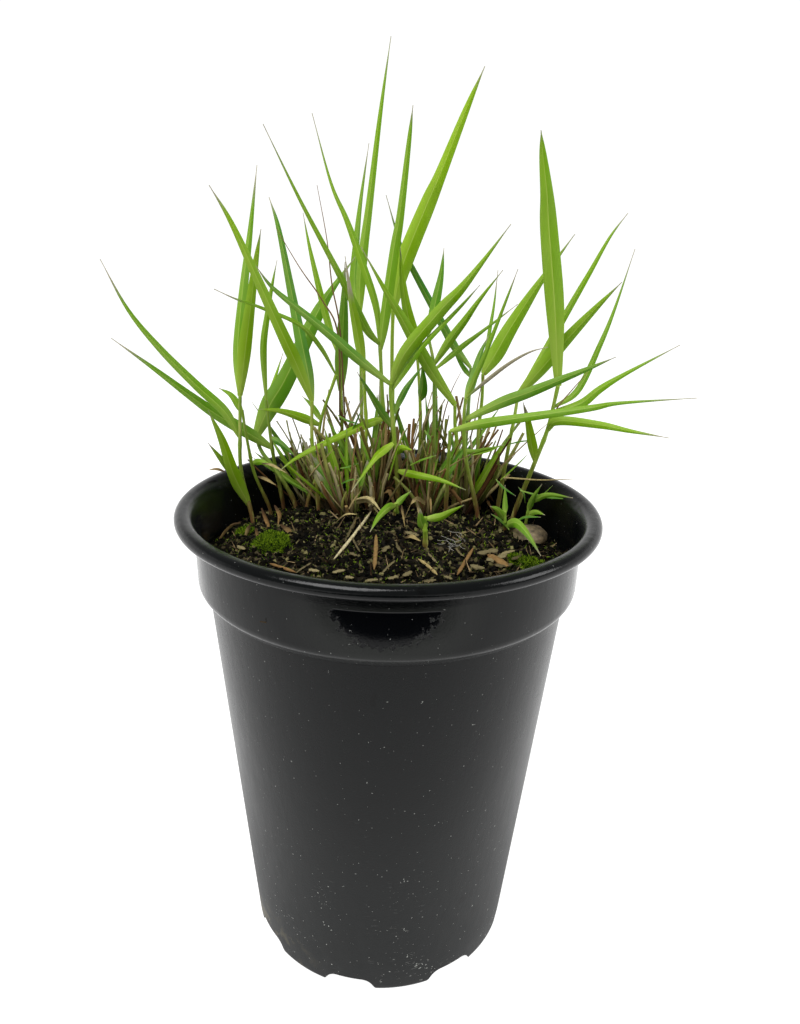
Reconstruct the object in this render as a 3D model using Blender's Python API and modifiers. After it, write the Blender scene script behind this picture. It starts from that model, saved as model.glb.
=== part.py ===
"""A young clump of forest grass in a round black nursery pot, modelled in metres, +Z up.

The origin is the middle of the pot's base on the table. Each leafy stem, each tuft of dead
straw and each thing lying on the soil is one solid. Stems stand in plain holes in the soil.

The grass is set out by sight: a point on a stem or a leaf is written as the column and the row
where it shows in the 800 x 1024 reference photograph, with how far behind the pot's axis it lies,
in millimetres, and sighted() turns that into a place. Everything else is a real size.
"""

import math
import random
from collections import namedtuple

import bmesh
import bpy
from mathutils import Vector, kdtree, noise

MM = 0.001

# Sizes of the pot, in millimetres
RIM_RADIUS = 57.5
POT_HEIGHT = 134.6
RIM_LIP = 3.6
COLLAR_RADIUS = 52.2
COLLAR_FOOT_Z = 115.0
LEDGE_Z = 111.5
LEDGE_RADIUS = 49.3
BASE_RADIUS = 38.8
WALL = 1.2
FLOOR_Z = 5.5
POT_STEPS = 44
NOTCHES = 8
NOTCH_MOUTH = 16.2
NOTCH_TOP = 11.0
NOTCH_DEPTH = 11.0
NOTCH_HEIGHT = 4.3
FIRST_NOTCH_DEG = -102.8

# Sizes of the growing mix and of what stands in it, in millimetres
GAP = 0.3
SOIL_EDGE_Z = 119.0
SOIL_CROWN_Z = 125.5
SOIL_ROUGHNESS = 1.1
SOIL_STEPS = 36
SOIL_ROWS = 11
HOLE_ROOM = 0.75
SINK = 7.0
MOSS_GAP = 0.75
MOSS_SIDES = 12
STICK_GAP = 0.5
STICK_STEPS = 4
PEBBLE_MIDDLE = (41.2, 8.6)
PEBBLE_SIZE = 5.2
PEBBLE_FLATNESS = 0.62
PEBBLE_RAISED = 0.9

# Sizes of the grass, in millimetres
BLADE_THICK = 0.7
BLADE_STEPS = 6
BLADE_FOLD = 0.14
CULM_SIDES = 5
STRAW_SIDES = 3
STRAW_TRIES = 15
GOLDEN_ANGLE = math.radians(137.5)
MOST_REACH = 3.0

# Where the photograph was taken from: the eye in millimetres, the way it faced in degrees,
# and the focal length and the middle of the picture in pixels
EYE = Vector((-3.0, -213.2, 206.9))
PITCH_DOWN, YAW_RIGHT, ROLL = 19.48, 1.61, 1.705
FOCAL_PX = 818.2
PICTURE_MIDDLE = (400.0, 512.0)

Blade = namedtuple("Blade", "width turn behind path")
Shoot = namedtuple("Shoot", "name root radius culm blades")
Tuft = namedtuple("Tuft", "name middle spread count height lean seed")
Stick = namedtuple("Stick", "name start end radius")
Moss = namedtuple("Moss", "name middle half rise")


def view_axes():
    """The picture's right and up directions and the way the eye faced."""
    pitch, yaw, roll = (math.radians(a) for a in (PITCH_DOWN, YAW_RIGHT, ROLL))
    ahead = Vector((math.sin(yaw) * math.cos(pitch), math.cos(yaw) * math.cos(pitch), -math.sin(pitch)))
    level = Vector((math.cos(yaw), -math.sin(yaw), 0.0))
    above = level.cross(ahead)
    right = level * math.cos(roll) + above * math.sin(roll)
    up = above * math.cos(roll) - level * math.sin(roll)
    return right, up, ahead


RIGHT, UP, AHEAD = view_axes()


def sighted(column, row, behind):
    """The place in millimetres that shows at this column and row and lies this far behind the axis."""
    ray = (
        AHEAD
        + RIGHT * ((column - PICTURE_MIDDLE[0]) / FOCAL_PX)
        - UP * ((row - PICTURE_MIDDLE[1]) / FOCAL_PX)
    )
    return EYE + ray * ((behind - EYE.y) / ray.y)


def soil_height(x, y):
    """Height of the soil's surface: a low crown that falls away towards the wall, with crumbs."""
    out = min(1.0, math.hypot(x, y) / LEDGE_RADIUS)
    crown = SOIL_EDGE_Z + (SOIL_CROWN_Z - SOIL_EDGE_Z) * (1.0 - out**2.2)
    return crown + SOIL_ROUGHNESS * noise.noise(Vector((x * 0.16, y * 0.16, 3.7)))


def on_soil(column, row):
    """The place on the soil that shows at this column and row."""
    behind = 0.0
    for _ in range(40):
        place = sighted(column, row, behind)
        behind += (place.z - soil_height(place.x, place.y)) * 1.2
    return sighted(column, row, behind)


def smooth_path(points, steps):
    """Places along one smooth curve through these points, evenly spaced by point number."""
    line = [points[0] * 2 - points[1], *points, points[-1] * 2 - points[-2]]
    spans = len(points) - 1
    found = []
    for i in range(steps + 1):
        at = min(i * spans / steps, spans - 1e-9)
        k, t = int(at), at - int(at)
        a, b, c, d = line[k : k + 4]
        found.append(
            0.5 * (b * 2 + (c - a) * t + (a * 2 - b * 5 + c * 4 - d) * t**2
                   + (b * 3 - a - c * 3 + d) * t**3)
        )
    return found


def directions(path):
    """The way the path runs at each of its points."""
    last = len(path) - 1
    return [(path[min(i + 1, last)] - path[max(i - 1, 0)]).normalized() for i in range(last + 1)]


def new_object(name, mesh, home):
    """A new object of this mesh in the home collection."""
    obj = bpy.data.objects.new(name, mesh)
    home.objects.link(obj)
    return obj


def loft(name, rings, home):
    """A closed solid through rings of as many points each, in millimetres, with flat ends."""
    mesh = bpy.data.meshes.new(name)
    bm = bmesh.new()
    rows = [[bm.verts.new(p * MM) for p in ring] for ring in rings]
    sides = len(rows[0])
    for low, high in zip(rows, rows[1:]):
        for i in range(sides):
            j = (i + 1) % sides
            bm.faces.new((low[i], low[j], high[j], high[i]))
    bm.faces.new(list(reversed(rows[0])))
    bm.faces.new(rows[-1])
    bmesh.ops.recalc_face_normals(bm, faces=bm.faces)
    bmesh.ops.triangulate(bm, faces=bm.faces)
    bm.to_mesh(mesh)
    bm.free()
    return new_object(name, mesh, home)


def blade_half_width(along, width):
    """Half the blade's width at this share of its length: narrow neck, broad middle, long point."""
    neck = min(1.0, 0.42 + along * 4.5)
    point = max(0.0, 1.0 - max(0.0, along - 0.28) / 0.72) ** 0.8
    return max(0.45, 0.5 * width * neck * point)


def make_blade(name, blade, places, home):
    """One leaf blade: a folded strip along these places, turned this far from facing the eye."""
    path = smooth_path(places, BLADE_STEPS)
    rings = []
    for i, (place, way) in enumerate(zip(path, directions(path))):
        across = way.cross(place - EYE).normalized()
        face = across.cross(way).normalized()
        turn = math.radians(blade.turn)
        side = across * math.cos(turn) + face * math.sin(turn)
        top = side.cross(way).normalized()
        half = blade_half_width(i / BLADE_STEPS, blade.width)
        fold = top * (half * 2.0 * BLADE_FOLD)
        thick = top * (BLADE_THICK / 2)
        rings.append([
            place - side * half, place + thick - fold, place + side * half, place - thick - fold,
        ])
    return loft(name, rings, home)


def make_rod(name, path, radii, sides, home):
    """A thin round rod along a path, with a radius at each point."""
    across = Vector((0.31, 0.95, 0.0))
    rings = []
    for place, way, radius in zip(path, directions(path), radii):
        first = (across - way * across.dot(way)).normalized()
        second = way.cross(first)
        rings.append([
            place + (first * math.cos(math.tau * k / sides) + second * math.sin(math.tau * k / sides)) * radius
            for k in range(sides)
        ])
    return loft(name, rings, home)


# The grass. A root is its place across and behind the pot's axis. A culm's points are column,
# row and distance behind. A blade is its width, its turn, how far behind its tip lies, and the
# columns and rows that it passes through from the culm to the tip.
SHOOTS = (
    Shoot("shoot_left_front", (-41, 20), 0.7, ((241, 470, 21), (240, 430, 20), (240, 396, 19)), (
        Blade(3.2, 20, 28, ((240, 396), (238, 350), (243, 290), (250, 230), (257, 165))),
        Blade(3.4, -15, 10, ((240, 396), (245, 350), (250, 310), (256, 262), (261, 229))),
        Blade(2.6, 10, 14, ((239, 438), (225, 412), (196, 385), (160, 349), (128, 310), (100, 259))),
        Blade(3.4, 0, 10, ((243, 505), (234, 475), (222, 440), (208, 410))),
        Blade(2.8, 25, 13, ((242, 481), (228, 467), (208, 443))),
    )),
    Shoot("shoot_left_slender", (-36.5, 27), 0.6, ((255, 475, 25), (248, 445, 23), (242, 410, 22)), (
        Blade(1.8, 0, 22, ((243, 412), (232, 396), (219, 388))),
        Blade(1.8, 10, 20, ((252, 462), (262, 462), (276, 468))),
    )),
    Shoot("shoot_left_long", (-33, 32), 0.7, ((275, 465, 30), (271, 440, 28), (266, 400, 26)), (
        Blade(2.0, 35, 22, ((266, 400), (263, 350), (267, 315), (272, 285), (277, 260))),
        Blade(3.3, 5, 20, ((270, 447), (250, 434), (216, 414), (189, 395), (153, 368), (111, 338))),
        Blade(1.8, 0, 24, ((272, 438), (284, 446), (297, 458))),
    )),
    Shoot("shoot_left_broad", (-29, 29), 0.8, ((281, 478, 28), (262, 452, 29), (256, 436, 31)), (
        Blade(5.6, 10, 40, ((256, 436), (270, 405), (285, 380), (315, 318), (330, 292), (355, 257))),
        Blade(2.0, 20, 42, ((256, 440), (264, 410), (273, 384), (283, 353))),
    )),
    Shoot("shoot_left_inner", (-25, 27), 0.65, ((318, 470, 27), (320, 425, 26), (336, 375, 24)), (
        Blade(2.4, 0, 19, ((320, 425), (300, 417), (280, 411), (258, 409))),
        Blade(1.2, 0, 4, ((336, 375), (321, 348), (300, 325), (262, 308), (236, 299), (214, 289))),
        Blade(1.6, 10, 30, ((321, 421), (312, 406), (302, 396))),
    )),
    Shoot("shoot_twin", (-21, 20), 0.7, ((316, 470, 19), (312, 440, 18), (312, 401, 16)), (
        Blade(3.2, 5, 2, ((312, 401), (297, 365), (283, 335), (257, 278), (231, 222), (209, 185))),
        Blade(3.4, -10, 30, ((312, 401), (308, 375), (301, 340), (293, 300), (279, 230), (269, 197))),
    )),
    Shoot("shoot_pale", (-15, 31), 0.65, ((342, 450, 32), (341, 391, 32), (337, 352, 32)), (
        Blade(1.9, 15, 36, ((337, 352), (327, 320), (317, 280), (309, 245), (303, 213))),
        Blade(3.6, -15, 24, ((341, 391), (342, 350), (344, 306), (345, 262))),
    )),
    Shoot("shoot_browned", (-9, 23), 0.65, ((366, 440, 22), (365, 400, 21), (364, 372, 20)), (
        Blade(2.7, 15, 12, ((364, 372), (357, 330), (351, 300), (345, 256))),
    )),
    Shoot("shoot_tallest", (-8, 37), 0.7, ((362, 440, 40), (361, 372, 42), (360, 311, 42)), (
        Blade(3.1, 20, 40, ((360, 311), (360, 285), (363, 250), (369, 205), (380, 115), (391, 36))),
        Blade(2.6, -25, 50, ((360, 311), (354, 285), (357, 240), (361, 200), (369, 143))),
    )),
    Shoot("shoot_centre", (-3, 29), 0.8, ((384, 440, 29), (382, 390, 28), (380, 345, 27)), (
        Blade(2.2, 10, 6, ((380, 347), (367, 330), (352, 300), (336, 268), (300, 200), (263, 124))),
        Blade(2.0, -15, 26, ((380, 335), (376, 305), (357, 248), (346, 218), (331, 183), (312, 113))),
        Blade(3.2, 25, 20, ((381, 350), (384, 320), (394, 250), (400, 215), (409, 140), (413, 105))),
        Blade(2.3, 0, 10, ((383, 420), (370, 423), (340, 436), (300, 456), (279, 471))),
    )),
    Shoot("shoot_arching", (3, 22), 0.8, ((396, 460, 21), (391, 400, 19), (391, 383, 18)), (
        Blade(3.4, 10, 2, ((391, 385), (405, 353), (440, 311), (460, 290), (480, 265), (511, 224))),
        Blade(2.0, 25, 9, ((393, 392), (408, 365), (425, 343), (460, 307), (480, 285))),
        Blade(2.6, -10, 0, ((391, 385), (360, 360), (330, 334), (300, 310), (272, 287), (256, 266))),
        Blade(2.1, 0, 12, ((394, 452), (402, 448), (412, 450))),
        Blade(2.1, 10, 6, ((396, 468), (413, 474), (440, 480), (466, 490))),
        Blade(2.2, -15, 8, ((394, 440), (380, 453), (372, 462), (351, 492))),
        Blade(2.2, 20, 14, ((392, 430), (380, 410), (368, 390), (357, 372))),
        Blade(1.8, 15, 24, ((391, 415), (404, 392), (412, 380), (425, 363))),
    )),
    Shoot("shoot_golden", (2, 38), 0.8, ((393, 440, 38), (392, 360, 38), (393, 310, 37)), (
        Blade(4.6, 5, 26, ((393, 310), (403, 265), (427, 205), (440, 175), (466, 110), (485, 66))),
    )),
    Shoot("shoot_upright", (9, 33), 0.65, ((420, 440, 33), (420, 400, 33), (417, 350, 32)), (
        Blade(3.0, 10, 24, ((417, 350), (412, 330), (406, 305), (402, 275), (400, 245))),
        Blade(3.0, 35, 26, ((420, 402), (423, 384), (422, 362))),
    )),
    Shoot("shoot_fork", (15, 28), 0.65, ((434, 440, 27), (434, 370, 26), (428, 335, 26)), (
        Blade(2.5, 15, 30, ((429, 336), (436, 300), (441, 275), (444, 248))),
        Blade(2.3, 5, 14, ((434, 365), (450, 340), (465, 320), (480, 299), (503, 270))),
        Blade(1.7, 20, 20, ((434, 368), (460, 348), (480, 333), (518, 304))),
    )),
    Shoot("shoot_blue", (24, 38), 0.7, ((466, 440, 40), (469, 400, 41), (471, 368, 41)), (
        Blade(2.4, 0, 36, ((471, 368), (455, 347), (440, 320), (412, 268), (400, 243), (386, 195))),
        Blade(1.5, 10, 45, ((470, 376), (460, 362), (447, 333))),
    )),
    Shoot("shoot_wide_lean", (20, 24), 0.7, ((457, 450, 23), (455, 425, 22), (455, 405, 21)), (
        Blade(3.4, 5, 14, ((455, 405), (432, 372), (415, 342), (400, 315), (385, 290), (361, 247))),
        Blade(1.5, 0, 18, ((457, 450), (472, 452), (488, 449), (504, 445))),
    )),
    Shoot("shoot_right_broad", (29, 33), 0.7, ((478, 440, 33), (482, 400, 33), (483, 374, 32)), (
        Blade(4.4, 5, 28, ((483, 374), (495, 355), (508, 332), (525, 305), (543, 278), (575, 234))),
        Blade(1.1, 0, 40, ((483, 378), (489, 335), (494, 305), (498, 270))),
    )),
    Shoot("shoot_right_inner", (27, 19), 0.7, ((466, 460, 17), (464, 420, 15), (466, 398, 14)), (
        Blade(1.4, 10, 8, ((465, 400), (475, 378), (486, 352), (507, 298), (518, 269))),
        Blade(2.4, -20, 22, ((466, 400), (473, 380), (480, 355), (489, 335))),
        Blade(2.9, 5, 4, ((464, 420), (500, 403), (530, 392), (560, 380), (590, 368), (616, 357))),
        Blade(1.0, 0, -4, ((466, 398), (490, 378), (510, 363), (530, 352), (548, 347))),
    )),
    Shoot("shoot_right_low", (17, 16), 0.65, ((448, 470, 13), (449, 450, 11), (450, 431, 10)), (
        Blade(2.5, 10, -10, ((450, 431), (480, 424), (520, 418), (590, 408), (620, 403), (697, 398))),
    )),
    Shoot("shoot_right_pair", (34, 27), 0.7, ((508, 450, 25), (514, 420, 24), (518, 395, 24)), (
        Blade(1.9, 10, 24, ((518, 396), (548, 345), (572, 303), (590, 272), (610, 237), (628, 213))),
        Blade(3.6, -5, 12, ((518, 396), (540, 370), (560, 347), (580, 325), (600, 304), (622, 282))),
    )),
    Shoot("shoot_right_tall", (38.5, 23), 0.8, ((535, 462, 20), (548, 428, 18), (558, 386, 16)), (
        Blade(5.4, 5, 8, ((558, 386), (555, 310), (549, 230), (547, 195), (543, 155), (541, 130))),
        Blade(2.4, 0, 4, ((548, 430), (558, 421), (600, 425), (630, 431), (669, 438))),
        Blade(2.5, 15, 12, ((554, 412), (580, 404), (600, 389), (625, 374), (680, 345))),
        Blade(1.7, 10, 26, ((555, 408), (578, 390), (600, 345), (615, 308), (635, 249))),
        Blade(2.8, 25, 16, ((535, 462), (531, 440), (527, 418), (523, 402))),
    )),
    Shoot("sprout_right_edge", (41, 15), 0.6, ((528, 512, 14), (530, 500, 14)), (
        Blade(1.6, 0, 10, ((528, 512), (533, 498), (542, 484))),
        Blade(1.6, 10, 8, ((528, 515), (536, 512), (545, 515))),
        Blade(1.6, 0, 6, ((529, 503), (548, 495), (573, 498))),
    )),
    Shoot("sprout_right", (34, 10), 0.65, ((505, 522, 9), (505, 512, 9)), (
        Blade(2.5, 10, -7, ((506, 525), (516, 523), (528, 535), (541, 556))),
        Blade(1.8, 0, 6, ((505, 520), (498, 510), (490, 506))),
        Blade(1.4, 10, 12, ((505, 514), (505, 500), (505, 485))),
    )),
    Shoot("sprout_middle", (2, 14), 0.65, ((397, 512, 10), (396, 503, 9)), (
        Blade(2.1, 10, -7, ((396, 506), (388, 508), (378, 518), (370, 532))),
        Blade(1.6, 0, 12, ((396, 505), (403, 498), (411, 491))),
    )),
    Shoot("sprout_front", (9.7, -10.4), 0.8, ((425, 530, -11), (425, 517, -11)), (
        Blade(1.9, 0, -13, ((425, 519), (440, 517), (452, 511), (464, 505))),
        Blade(2.6, 20, -12, ((425, 530), (421, 520), (420, 508))),
    )),
)

TUFTS = (
    Tuft("straw_far_left", (-23, 34), 5.0, 10, (16, 34), -8, 1),
    Tuft("straw_left", (-16, 25), 4.5, 11, (12, 30), -12, 2),
    Tuft("straw_left_near", (-12, 15), 4.0, 10, (9, 24), -14, 3),
    Tuft("straw_back", (-3, 34), 4.0, 11, (18, 38), 0, 4),
    Tuft("straw_middle", (-4, 21), 4.0, 11, (12, 30), -4, 5),
    Tuft("straw_back_right", (14, 37), 4.0, 11, (16, 36), 8, 6),
    Tuft("straw_inner_right", (9, 27), 3.5, 10, (14, 32), 6, 7),
    Tuft("straw_right", (24, 30), 3.5, 10, (14, 34), 14, 8),
    Tuft("straw_right_near", (12, 18), 3.5, 9, (8, 22), 10, 9),
)

STICKS = (
    Stick("twig_pale", (334, 564), (371, 516), 0.45),
    Stick("needle_front", (374, 575), (376, 540), 0.55),
    Stick("needle_right", (457, 579), (473, 552), 0.5),
    Stick("needle_near", (418, 562), (437, 578), 0.45),
    Stick("twig_left", (270, 567), (296, 576), 0.45),
    Stick("chip_right", (487, 560), (507, 572), 1.2),
)

MOSSES = (
    Moss("moss_left", (-32, -4), (5.6, 7.0), 1.8),
    Moss("moss_back_left", (-41.5, 9), (3.2, 3.6), 0.8),
    Moss("moss_right", (37, -11.5), (6.4, 4.4), 0.9),
)


def fuse(name, pieces, home, joining, solver="EXACT"):
    """One solid of all these pieces, in the home collection; the pieces are removed."""
    first, *others = pieces
    for other in others:
        home.objects.unlink(other)
        joining.objects.link(other)
    union = first.modifiers.new("Union", "BOOLEAN")
    union.operation = "UNION"
    union.operand_type = "COLLECTION"
    union.collection = joining
    union.solver = solver
    bpy.context.view_layer.update()
    seen = first.evaluated_get(bpy.context.evaluated_depsgraph_get())
    mesh = bpy.data.meshes.new_from_object(seen)
    mesh.name = name
    drop_pockets(mesh)
    for piece in pieces:
        bpy.data.objects.remove(piece)
    return new_object(name, mesh, home)


def drop_pockets(mesh):
    """Keep only the outer skin: crossing straws can shut in small pockets of their own."""
    bm = bmesh.new()
    bm.from_mesh(mesh)
    left = set(bm.verts)
    skins = []
    while left:
        skin = {left.pop()}
        edge = list(skin)
        while edge:
            here = edge.pop()
            found = {e.other_vert(here) for e in here.link_edges} & left
            left -= found
            skin |= found
            edge += found
        skins.append(skin)
    skins.sort(key=len)
    for skin in skins[:-1]:
        bmesh.ops.delete(bm, geom=list(skin), context="VERTS")
    bm.to_mesh(mesh)
    bm.free()


def cut_all(obj, cutters):
    """Cut every object of this collection out of the object."""
    cut = obj.modifiers.new("Holes", "BOOLEAN")
    cut.operation = "DIFFERENCE"
    cut.operand_type = "COLLECTION"
    cut.collection = cutters
    cut.solver = "EXACT"


def material(name, colour, roughness, metallic=0.0):
    """A Principled material of this colour, roughness and metallic value."""
    made = bpy.data.materials.new(name)
    made.use_nodes = True
    shader = made.node_tree.nodes["Principled BSDF"]
    shader.inputs["Base Color"].default_value = (*colour, 1.0)
    shader.inputs["Roughness"].default_value = roughness
    shader.inputs["Metallic"].default_value = metallic
    made.diffuse_color = (*colour, 1.0)
    return made


def turned(name, profile, steps, home):
    """A solid turned about +Z from a closed profile of (radius, height) in millimetres."""
    mesh = bpy.data.meshes.new(name)
    bm = bmesh.new()
    verts = [bm.verts.new((r * MM, 0.0, z * MM)) for r, z in profile]
    for a, b in zip(verts, verts[1:]):
        bm.edges.new((a, b))
    if profile[0][0] > 0:
        bm.edges.new((verts[-1], verts[0]))
    bm.to_mesh(mesh)
    bm.free()
    obj = new_object(name, mesh, home)
    screw = obj.modifiers.new("Screw", "SCREW")
    screw.steps = screw.render_steps = steps
    screw.use_merge_vertices = True
    screw.merge_threshold = 0.0001
    return obj


def rim_profile():
    """The rolled rim in section, from the collar round the lip to the inside, as (radius, height)."""
    half = RIM_LIP / 2
    middle = POT_HEIGHT - half
    bead = COLLAR_RADIUS + 1.0
    roll = [(RIM_RADIUS - half + half * math.cos(math.radians(a)), middle + half * math.sin(math.radians(a)))
            for a in (-80, -40, 0, 40, 80)]
    return [(bead, POT_HEIGHT - RIM_LIP - 1.2), (bead, POT_HEIGHT - RIM_LIP), *roll,
            (COLLAR_RADIUS + 2.4, POT_HEIGHT), (COLLAR_RADIUS + 1.2, POT_HEIGHT - 0.8)]


def make_pot(home, cutters):
    """The pot: tapered wall, rounded step, straight collar and rolled rim, with drainage openings."""
    outside = [
        (0.0, 0.0), (BASE_RADIUS - 1.6, 0.0), (BASE_RADIUS - 0.4, 0.5), (BASE_RADIUS, 1.6),
        (LEDGE_RADIUS, LEDGE_Z), (LEDGE_RADIUS + 0.9, LEDGE_Z + 0.9),
        (COLLAR_RADIUS - 0.5, COLLAR_FOOT_Z - 0.9), (COLLAR_RADIUS, COLLAR_FOOT_Z + 0.4),
        (COLLAR_RADIUS + 0.3, POT_HEIGHT - RIM_LIP - 1.6),
    ]
    inside = [
        (COLLAR_RADIUS + 0.2 - WALL, POT_HEIGHT - RIM_LIP),
        (COLLAR_RADIUS - WALL, COLLAR_FOOT_Z + 0.4), (LEDGE_RADIUS - WALL, LEDGE_Z + 0.6),
        (BASE_RADIUS + 0.5 - WALL, FLOOR_Z), (0.0, FLOOR_Z),
    ]
    pot = turned("pot", outside + rim_profile() + inside, POT_STEPS, home)
    for k in range(NOTCHES):
        angle = math.radians(FIRST_NOTCH_DEG + 360.0 / NOTCHES * k)
        mesh = bpy.data.meshes.new(f"notch_{k}")
        bm = bmesh.new()
        bmesh.ops.create_cube(bm, size=1.0)
        for vert in bm.verts:
            width = NOTCH_TOP if vert.co.z > 0 else 2 * NOTCH_MOUTH - NOTCH_TOP
            vert.co.x *= NOTCH_DEPTH * MM
            vert.co.y *= width * MM
            vert.co.z *= 2 * NOTCH_HEIGHT * MM
        bm.to_mesh(mesh)
        bm.free()
        notch = new_object(f"notch_{k}", mesh, cutters)
        notch.location = Vector((math.cos(angle), math.sin(angle), 0.0)) * (BASE_RADIUS + 1.5) * MM
        notch.rotation_euler.z = angle
    cut_all(pot, cutters)
    return pot


def soil_surface(bm, inner_radius, foot):
    """A closed disc of growing mix: a crumbly top, a side that follows the wall, a flat foot."""
    top = bm.verts.new((0, 0, soil_height(0, 0) * MM))
    rings = []
    for r in range(1, SOIL_ROWS + 1):
        radius = inner_radius * r / SOIL_ROWS
        ring = []
        for k in range(SOIL_STEPS):
            angle = math.tau * k / SOIL_STEPS
            x, y = radius * math.cos(angle), radius * math.sin(angle)
            ring.append(bm.verts.new(Vector((x, y, soil_height(x, y))) * MM))
        rings.append(ring)
    for radius, z in foot:
        rings.append([
            bm.verts.new(Vector((radius * math.cos(a), radius * math.sin(a), z)) * MM)
            for a in (math.tau * k / SOIL_STEPS for k in range(SOIL_STEPS))
        ])
    base = bm.verts.new((0, 0, foot[-1][1] * MM))
    for k in range(SOIL_STEPS):
        j = (k + 1) % SOIL_STEPS
        bm.faces.new((top, rings[0][k], rings[0][j]))
        bm.faces.new((base, rings[-1][j], rings[-1][k]))
        for low, high in zip(rings, rings[1:]):
            bm.faces.new((low[k], high[k], high[j]))
            bm.faces.new((low[k], high[j], low[j]))


def make_soil(home, cutters):
    """The growing mix that fills the pot, with a plain hole for each stem that stands in it."""
    mesh = bpy.data.meshes.new("soil")
    bm = bmesh.new()
    ledge = LEDGE_RADIUS - WALL - GAP
    wall = COLLAR_RADIUS - WALL - GAP
    soil_surface(bm, wall - 0.2, (
        (wall - 0.4, COLLAR_FOOT_Z + 0.8), (ledge - 0.3, LEDGE_Z + 0.6),
        (BASE_RADIUS + 0.4 - WALL - GAP, FLOOR_Z + GAP),
    ))
    bmesh.ops.recalc_face_normals(bm, faces=bm.faces)
    bm.to_mesh(mesh)
    bm.free()
    soil = new_object("soil", mesh, home)
    cut_all(soil, cutters)
    return soil


def culm_path(shoot):
    """Places from below the soil at the root up the culm."""
    x, y = shoot.root
    foot = Vector((x, y, soil_height(x, y)))
    points = [foot - Vector((0, 0, SINK)), foot + Vector((0, 0, 1.5))]
    return points + [sighted(*p) for p in shoot.culm]


def nearest_on(path, column, row):
    """The place on the path that shows nearest to this column and row."""
    return min(path, key=lambda p: (sighted(column, row, p.y) - p).length)


def make_shoot(shoot, taken, home, joining):
    """One leafy stem: its culm and its blades, fused; the places it takes up are added to taken."""
    points = culm_path(shoot)
    taken += samples(points, shoot.radius, 24)
    path = smooth_path(points, 2 * len(points))
    dense = smooth_path(points, 40)
    radii = [shoot.radius * (1.0 - 0.25 * i / len(path)) for i in range(len(path))]
    pieces = [make_rod(shoot.name, path, radii, CULM_SIDES, home)]
    for k, blade in enumerate(shoot.blades):
        base = nearest_on(dense, *blade.path[0])
        last = len(blade.path) - 1
        places = [base]
        for i, (column, row) in enumerate(blade.path[1:], 1):
            behind = base.y + (blade.behind - base.y) * i / last
            places.append(sighted(column, row, behind))
        taken += samples(places, blade.width / 2, 24)
        pieces.append(make_blade(f"{shoot.name}_blade_{k}", blade, places, home))
    return fuse(shoot.name, pieces, home, joining)


def samples(path, reach, steps=16):
    """Places along the path, each with the distance that others keep from it."""
    return [(place, reach) for place in smooth_path(path, steps)]


def is_clear(path, tree, taken, reach):
    """True if no place on the path comes within reach of the places that are already taken."""
    for place in smooth_path(path, 10)[2:]:
        for _, index, distance in tree.find_range(place, reach + MOST_REACH):
            if distance < reach + taken[index][1]:
                return False
    return True


def make_tuft(tuft, taken, home, joining):
    """Dead cut straws that stand up from one short woody foot in the soil, fused."""
    rng = random.Random(tuft.seed)
    tree = kdtree.KDTree(len(taken))
    for index, (place, _) in enumerate(taken):
        tree.insert(place, index)
    tree.balance()
    foot = Vector((*tuft.middle, soil_height(*tuft.middle)))
    down = Vector((0, 0, 1))
    crown = [foot - down * SINK, foot, foot + down * 2.0]
    radii = [tuft.spread * 0.5, tuft.spread * 0.55, tuft.spread * 0.4]
    pieces = [make_rod(tuft.name, crown, radii, 7, home)]
    new = samples(crown, tuft.spread * 0.55)
    for k in range(tuft.count):
        turn = GOLDEN_ANGLE * k + rng.uniform(-0.3, 0.3)
        out = math.sqrt((k + 0.5) / tuft.count)
        outward = Vector((math.cos(turn), math.sin(turn), 0.0))
        start = foot + outward * (tuft.spread * 0.4 * out) + Vector((0, 0, 0.6))
        for _ in range(STRAW_TRIES):
            tall = rng.uniform(*tuft.height)
            lean = math.radians(tuft.lean + rng.uniform(-7, 7))
            way = (Vector((math.sin(lean), rng.uniform(-0.12, 0.12), math.cos(lean)))
                   + outward * out * rng.uniform(0.02, 0.4)).normalized()
            bend = outward * rng.uniform(-0.01, 0.05) * tall
            thick = rng.uniform(0.5, 0.9)
            path = [start, start + way * tall * 0.5 + bend, start + way * tall]
            if is_clear(path, tree, taken, thick + 0.4):
                new += samples(path, thick)
                pieces.append(make_rod(f"{tuft.name}_{k}", path, [thick, thick * 0.9, thick * 0.75],
                                       STRAW_SIDES, home))
                break
    taken += new
    return fuse(tuft.name, pieces, home, joining)


def make_hole(name, middle, radius, home):
    """A plain round hole's cutter, from above the soil down to where a stem's foot ends."""
    x, y = middle
    mesh = bpy.data.meshes.new(name)
    bm = bmesh.new()
    bmesh.ops.create_cone(bm, cap_ends=True, segments=8, radius1=radius * MM, radius2=radius * MM,
                          depth=2 * (SINK + GAP) * MM)
    bm.to_mesh(mesh)
    bm.free()
    hole = new_object(name, mesh, home)
    hole.location = Vector((x, y, soil_height(x, y))) * MM
    return hole


def make_pebble(name, middle, size, home):
    """A smooth stone of this half-width in millimetres, or the hollow it lies in."""
    mesh = bpy.data.meshes.new(name)
    bm = bmesh.new()
    bmesh.ops.create_icosphere(bm, subdivisions=2, radius=size * MM)
    for vert in bm.verts:
        vert.co *= 1.0 + 0.06 * noise.noise(vert.co.normalized() * 2.0)
        vert.co.z *= PEBBLE_FLATNESS
    bm.to_mesh(mesh)
    bm.free()
    pebble = new_object(name, mesh, home)
    x, y = middle
    pebble.location = Vector((x, y, soil_height(x, y) + PEBBLE_RAISED)) * MM
    return pebble


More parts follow.
